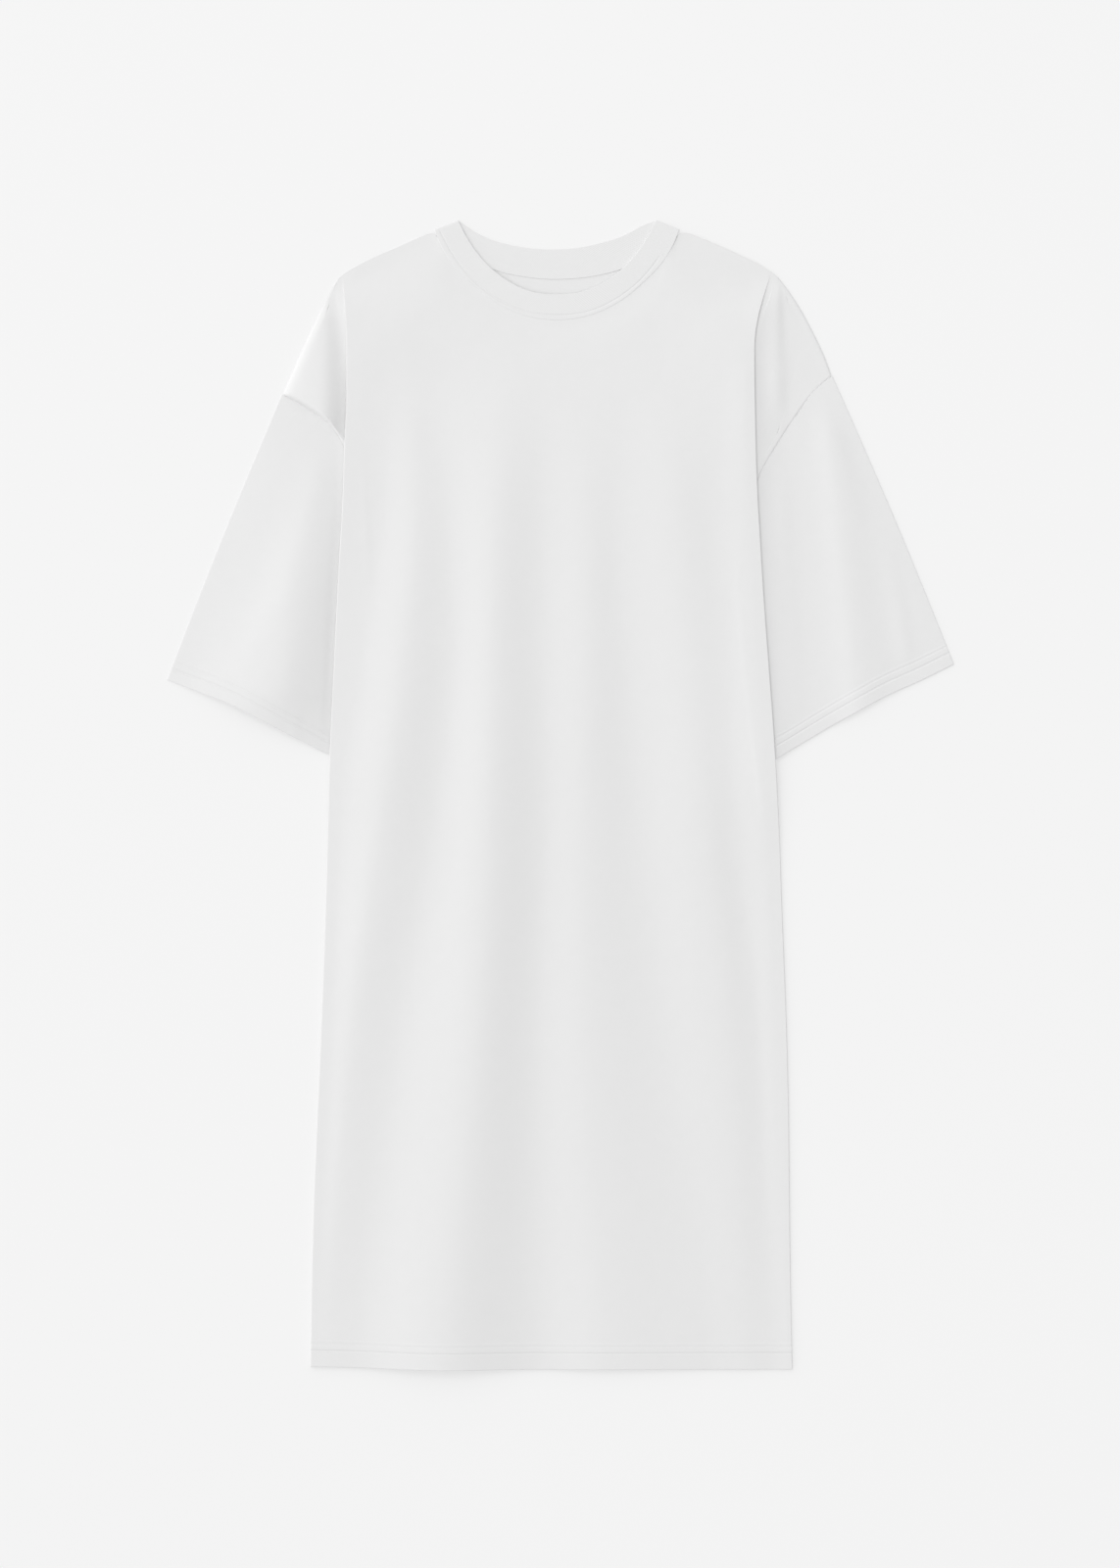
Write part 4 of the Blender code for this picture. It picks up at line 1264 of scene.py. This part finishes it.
def along_neck(count):
    """Places of the plan along the front of the neck band, inside its seam."""
    seam = neck_path(NECK_FRONT, "seam")
    free = neck_path(NECK_FRONT, "free")
    shares = [mix(NECK_STITCHES_FROM_END, 1.0 - NECK_STITCHES_FROM_END, k / count) for k in range(count + 1)]
    return [shifted(seam.at(share), free.at(share), BAND_STITCH_FROM_SEAM) for share in shares]


# Stage, in metres
FLOOR_REACH = 12.0
FLOOR_DROP = 0.0002
SKY_SIDE = (-1.0, 0.4, 0.0)
LAMP_PLACE = (-1.8, 2.4, 4.2)
LAMP_SIZE = 2.4
CAMERA_OVER = (-0.00046, 0.0096)
WHITE = (1.0, 1.0, 1.0, 1.0)


def make_floor(colour, glow):
    """A wide pale floor that gives a little light by itself."""
    mesh = bpy.data.meshes.new("floor")
    corners = ((-1, -1), (1, -1), (1, 1), (-1, 1))
    mesh.from_pydata([(x * FLOOR_REACH, y * FLOOR_REACH, 0) for x, y in corners], [], [(0, 1, 2, 3)])
    floor = add_object("floor", mesh)
    floor.location.z = -FLOOR_DROP
    paper = bpy.data.materials.new("pale floor")
    paper.use_nodes = True
    set_sockets(paper.node_tree.nodes["Principled BSDF"], {
        "Base Color": tuple(colour) + (1.0,), "Roughness": 1.0, "Specular IOR Level": 0.0,
        "Emission Color": WHITE, "Emission Strength": glow,
    })
    floor.data.materials.append(paper)


def make_sky(strength, lean):
    """A white sky that is brighter on one side."""
    world = bpy.data.worlds.new("soft sky")
    world.use_nodes = True
    tree = world.node_tree
    aim = add_node(tree, "ShaderNodeTexCoord", {}, {}, "Generated")
    side = tuple(Vector(SKY_SIDE).normalized())
    towards = add_node(tree, "ShaderNodeVectorMath", {"operation": "DOT_PRODUCT"}, {0: aim, 1: side}, "Value")
    sky = tree.nodes["Background"]
    sky.inputs["Color"].default_value = WHITE
    tree.links.new(((towards * lean + 1.0) * strength).socket, sky.inputs["Strength"])
    return world


def length(name, description, default):
    return bpy.props.FloatProperty(name=name, description=description, default=default, unit="LENGTH")


def colour(name, description, grey):
    default = (grey, grey, grey)
    return bpy.props.FloatVectorProperty(name=name, description=description, default=default, subtype="COLOR")


def factor(name, description, default):
    return bpy.props.FloatProperty(name=name, description=description, default=default, subtype="FACTOR")


class DressSizes(bpy.types.PropertyGroup):
    wall: length("Cloth thickness", "Thickness of one layer of jersey", 0.00055)
    stitch_pitch: length("Stitch pitch", "Distance from one stitch to the next", 0.0031)
    stitch_length: length("Stitch length", "Length of thread that shows in one stitch", 0.0025)
    thread: length("Thread", "Thickness of the sewing thread", 0.0004)


class DressLook(bpy.types.PropertyGroup):
    cloth_colour: colour("Cloth", "Colour of the jersey and the rib", 0.777)
    thread_colour: colour("Thread", "Colour of the sewing thread", 0.777)
    floor_colour: colour("Floor", "Colour of the floor", 0.36)


class StudioSettings(bpy.types.PropertyGroup):
    sky: factor("Sky", "Even light from all round", 0.945)
    sky_lean: factor("Sky lean", "How much brighter the sky is on the lamp's side", 0.65)
    floor_glow: factor("Floor glow", "Light that the pale floor gives by itself", 0.53)
    lamp: bpy.props.FloatProperty(name="Lamp", description="Power of the soft lamp, in watts", default=36.0)
    camera_height: length("Camera height", "Height of the lens above the floor", 3.453)


class DRESS_OT_back(bpy.types.Operator):
    """Makes the back panel with its folded sides and the thread of its hem"""

    bl_idname = "dress.back"
    bl_label = "Back Panel"

    def execute(self, context):
        sizes = context.scene.dress_sizes
        piece = make_back(sizes)
        plans = [(along_hem(line, 120), THREAD_SINK_UNDER, False) for line in HEM_LINES]
        thread = sew("back_hem_thread", laid_on(piece, plans), sizes)
        declare(piece, "back_panel", "jersey of the body")
        return {"FINISHED"}


class DRESS_OT_sleeves(bpy.types.Operator):
    """Makes both sleeves and the thread of their cuffs"""

    bl_idname = "dress.sleeves"
    bl_label = "Sleeves"

    def execute(self, context):
        sizes = context.scene.dress_sizes
        for side in SIDES:
            piece = make_sleeve(side, sizes)
            plans = []
            for line in CUFF_LINES:
                places = along_cuff(side, line, 60)
                plans += [(places, THREAD_SINK, True), (places, THREAD_SINK_UNDER, False)]
            thread = sew("sleeve_" + side + "_thread", laid_on(piece, plans), sizes)
            declare(
                piece, "sleeve_" + side,
                "jersey of the sleeves",
            )
        return {"FINISHED"}


class DRESS_OT_front(bpy.types.Operator):
    """Makes the front panel with its soft folds and the thread of its hem"""

    bl_idname = "dress.front"
    bl_label = "Front Panel"

    def execute(self, context):
        sizes = context.scene.dress_sizes
        piece = make_front(sizes)
        plans = [(along_hem(line, 160), THREAD_SINK, True) for line in HEM_LINES]
        thread = sew("front_hem_thread", laid_on(piece, plans), sizes)
        declare(piece, "front_panel", "jersey of the body")
        return {"FINISHED"}


class DRESS_OT_band(bpy.types.Operator):
    """Makes the ribbed neck band and the stitches along its seam"""

    bl_idname = "dress.band"
    bl_label = "Neck Band"

    def execute(self, context):
        sizes = context.scene.dress_sizes
        piece = make_band()
        thread = sew("neck_thread", laid_on(piece, [(along_neck(120), NECK_THREAD_SINK, True)]), sizes)
        look = "rib knit of the neck band"
        declare(piece, "collar", look)
        return {"FINISHED"}


class DRESS_OT_studio(bpy.types.Operator):
    """Makes the pale floor, the soft light and the camera above the dress"""

    bl_idname = "dress.studio"
    bl_label = "Studio"

    def execute(self, context):
        scene = context.scene
        look = scene.dress_look
        studio = scene.dress_studio
        make_floor(look.floor_colour, studio.floor_glow)
        scene.world = make_sky(studio.sky, studio.sky_lean)
        lamp = bpy.data.lights.new("soft lamp", "AREA")
        lamp.energy = studio.lamp
        lamp.size = LAMP_SIZE
        lamp_object = add_object("soft lamp", lamp)
        lamp_object.location = LAMP_PLACE
        lamp_object.rotation_euler = (-lamp_object.location).to_track_quat("-Z", "Y").to_euler()
        lens = bpy.data.cameras.new("camera")
        lens.lens = 85.0
        lens.sensor_fit = "VERTICAL"
        lens.sensor_height = 36.0
        lens.clip_end = 60.0
        camera = add_object("camera", lens)
        camera.location = (*CAMERA_OVER, studio.camera_height)
        scene.camera = camera
        scene.view_settings.view_transform = "Standard"
        return {"FINISHED"}


class DRESS_PT_panel(bpy.types.Panel):
    """Lists the pieces of the dress and their sizes"""

    bl_idname = "DRESS_PT_panel"
    bl_label = "T-shirt Dress"
    bl_space_type = "VIEW_3D"
    bl_region_type = "UI"
    bl_category = "Dress"

    def draw(self, context):
        scene = context.scene
        for group in (scene.dress_sizes, scene.dress_look, scene.dress_studio):
            for name in group.bl_rna.properties.keys():
                if name not in {"rna_type", "name"}:
                    self.layout.prop(group, name)
        for operator in OPERATORS:
            self.layout.operator(operator.bl_idname)


OPERATORS = (DRESS_OT_back, DRESS_OT_sleeves, DRESS_OT_front, DRESS_OT_band, DRESS_OT_studio)
CLASSES = (DressSizes, DressLook, StudioSettings) + OPERATORS + (DRESS_PT_panel,)


def register():
    for made in CLASSES:
        bpy.utils.register_class(made)
    bpy.types.Scene.dress_sizes = bpy.props.PointerProperty(type=DressSizes)
    bpy.types.Scene.dress_look = bpy.props.PointerProperty(type=DressLook)
    bpy.types.Scene.dress_studio = bpy.props.PointerProperty(type=StudioSettings)


def unregister():
    del bpy.types.Scene.dress_studio
    del bpy.types.Scene.dress_look
    del bpy.types.Scene.dress_sizes
    for made in reversed(CLASSES):
        bpy.utils.unregister_class(made)


def main():
    register()
    bpy.ops.dress.back()
    bpy.ops.dress.sleeves()
    bpy.ops.dress.front()
    bpy.ops.dress.band()
    bpy.ops.dress.studio()
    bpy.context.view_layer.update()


if __name__ == "__main__":
    main()
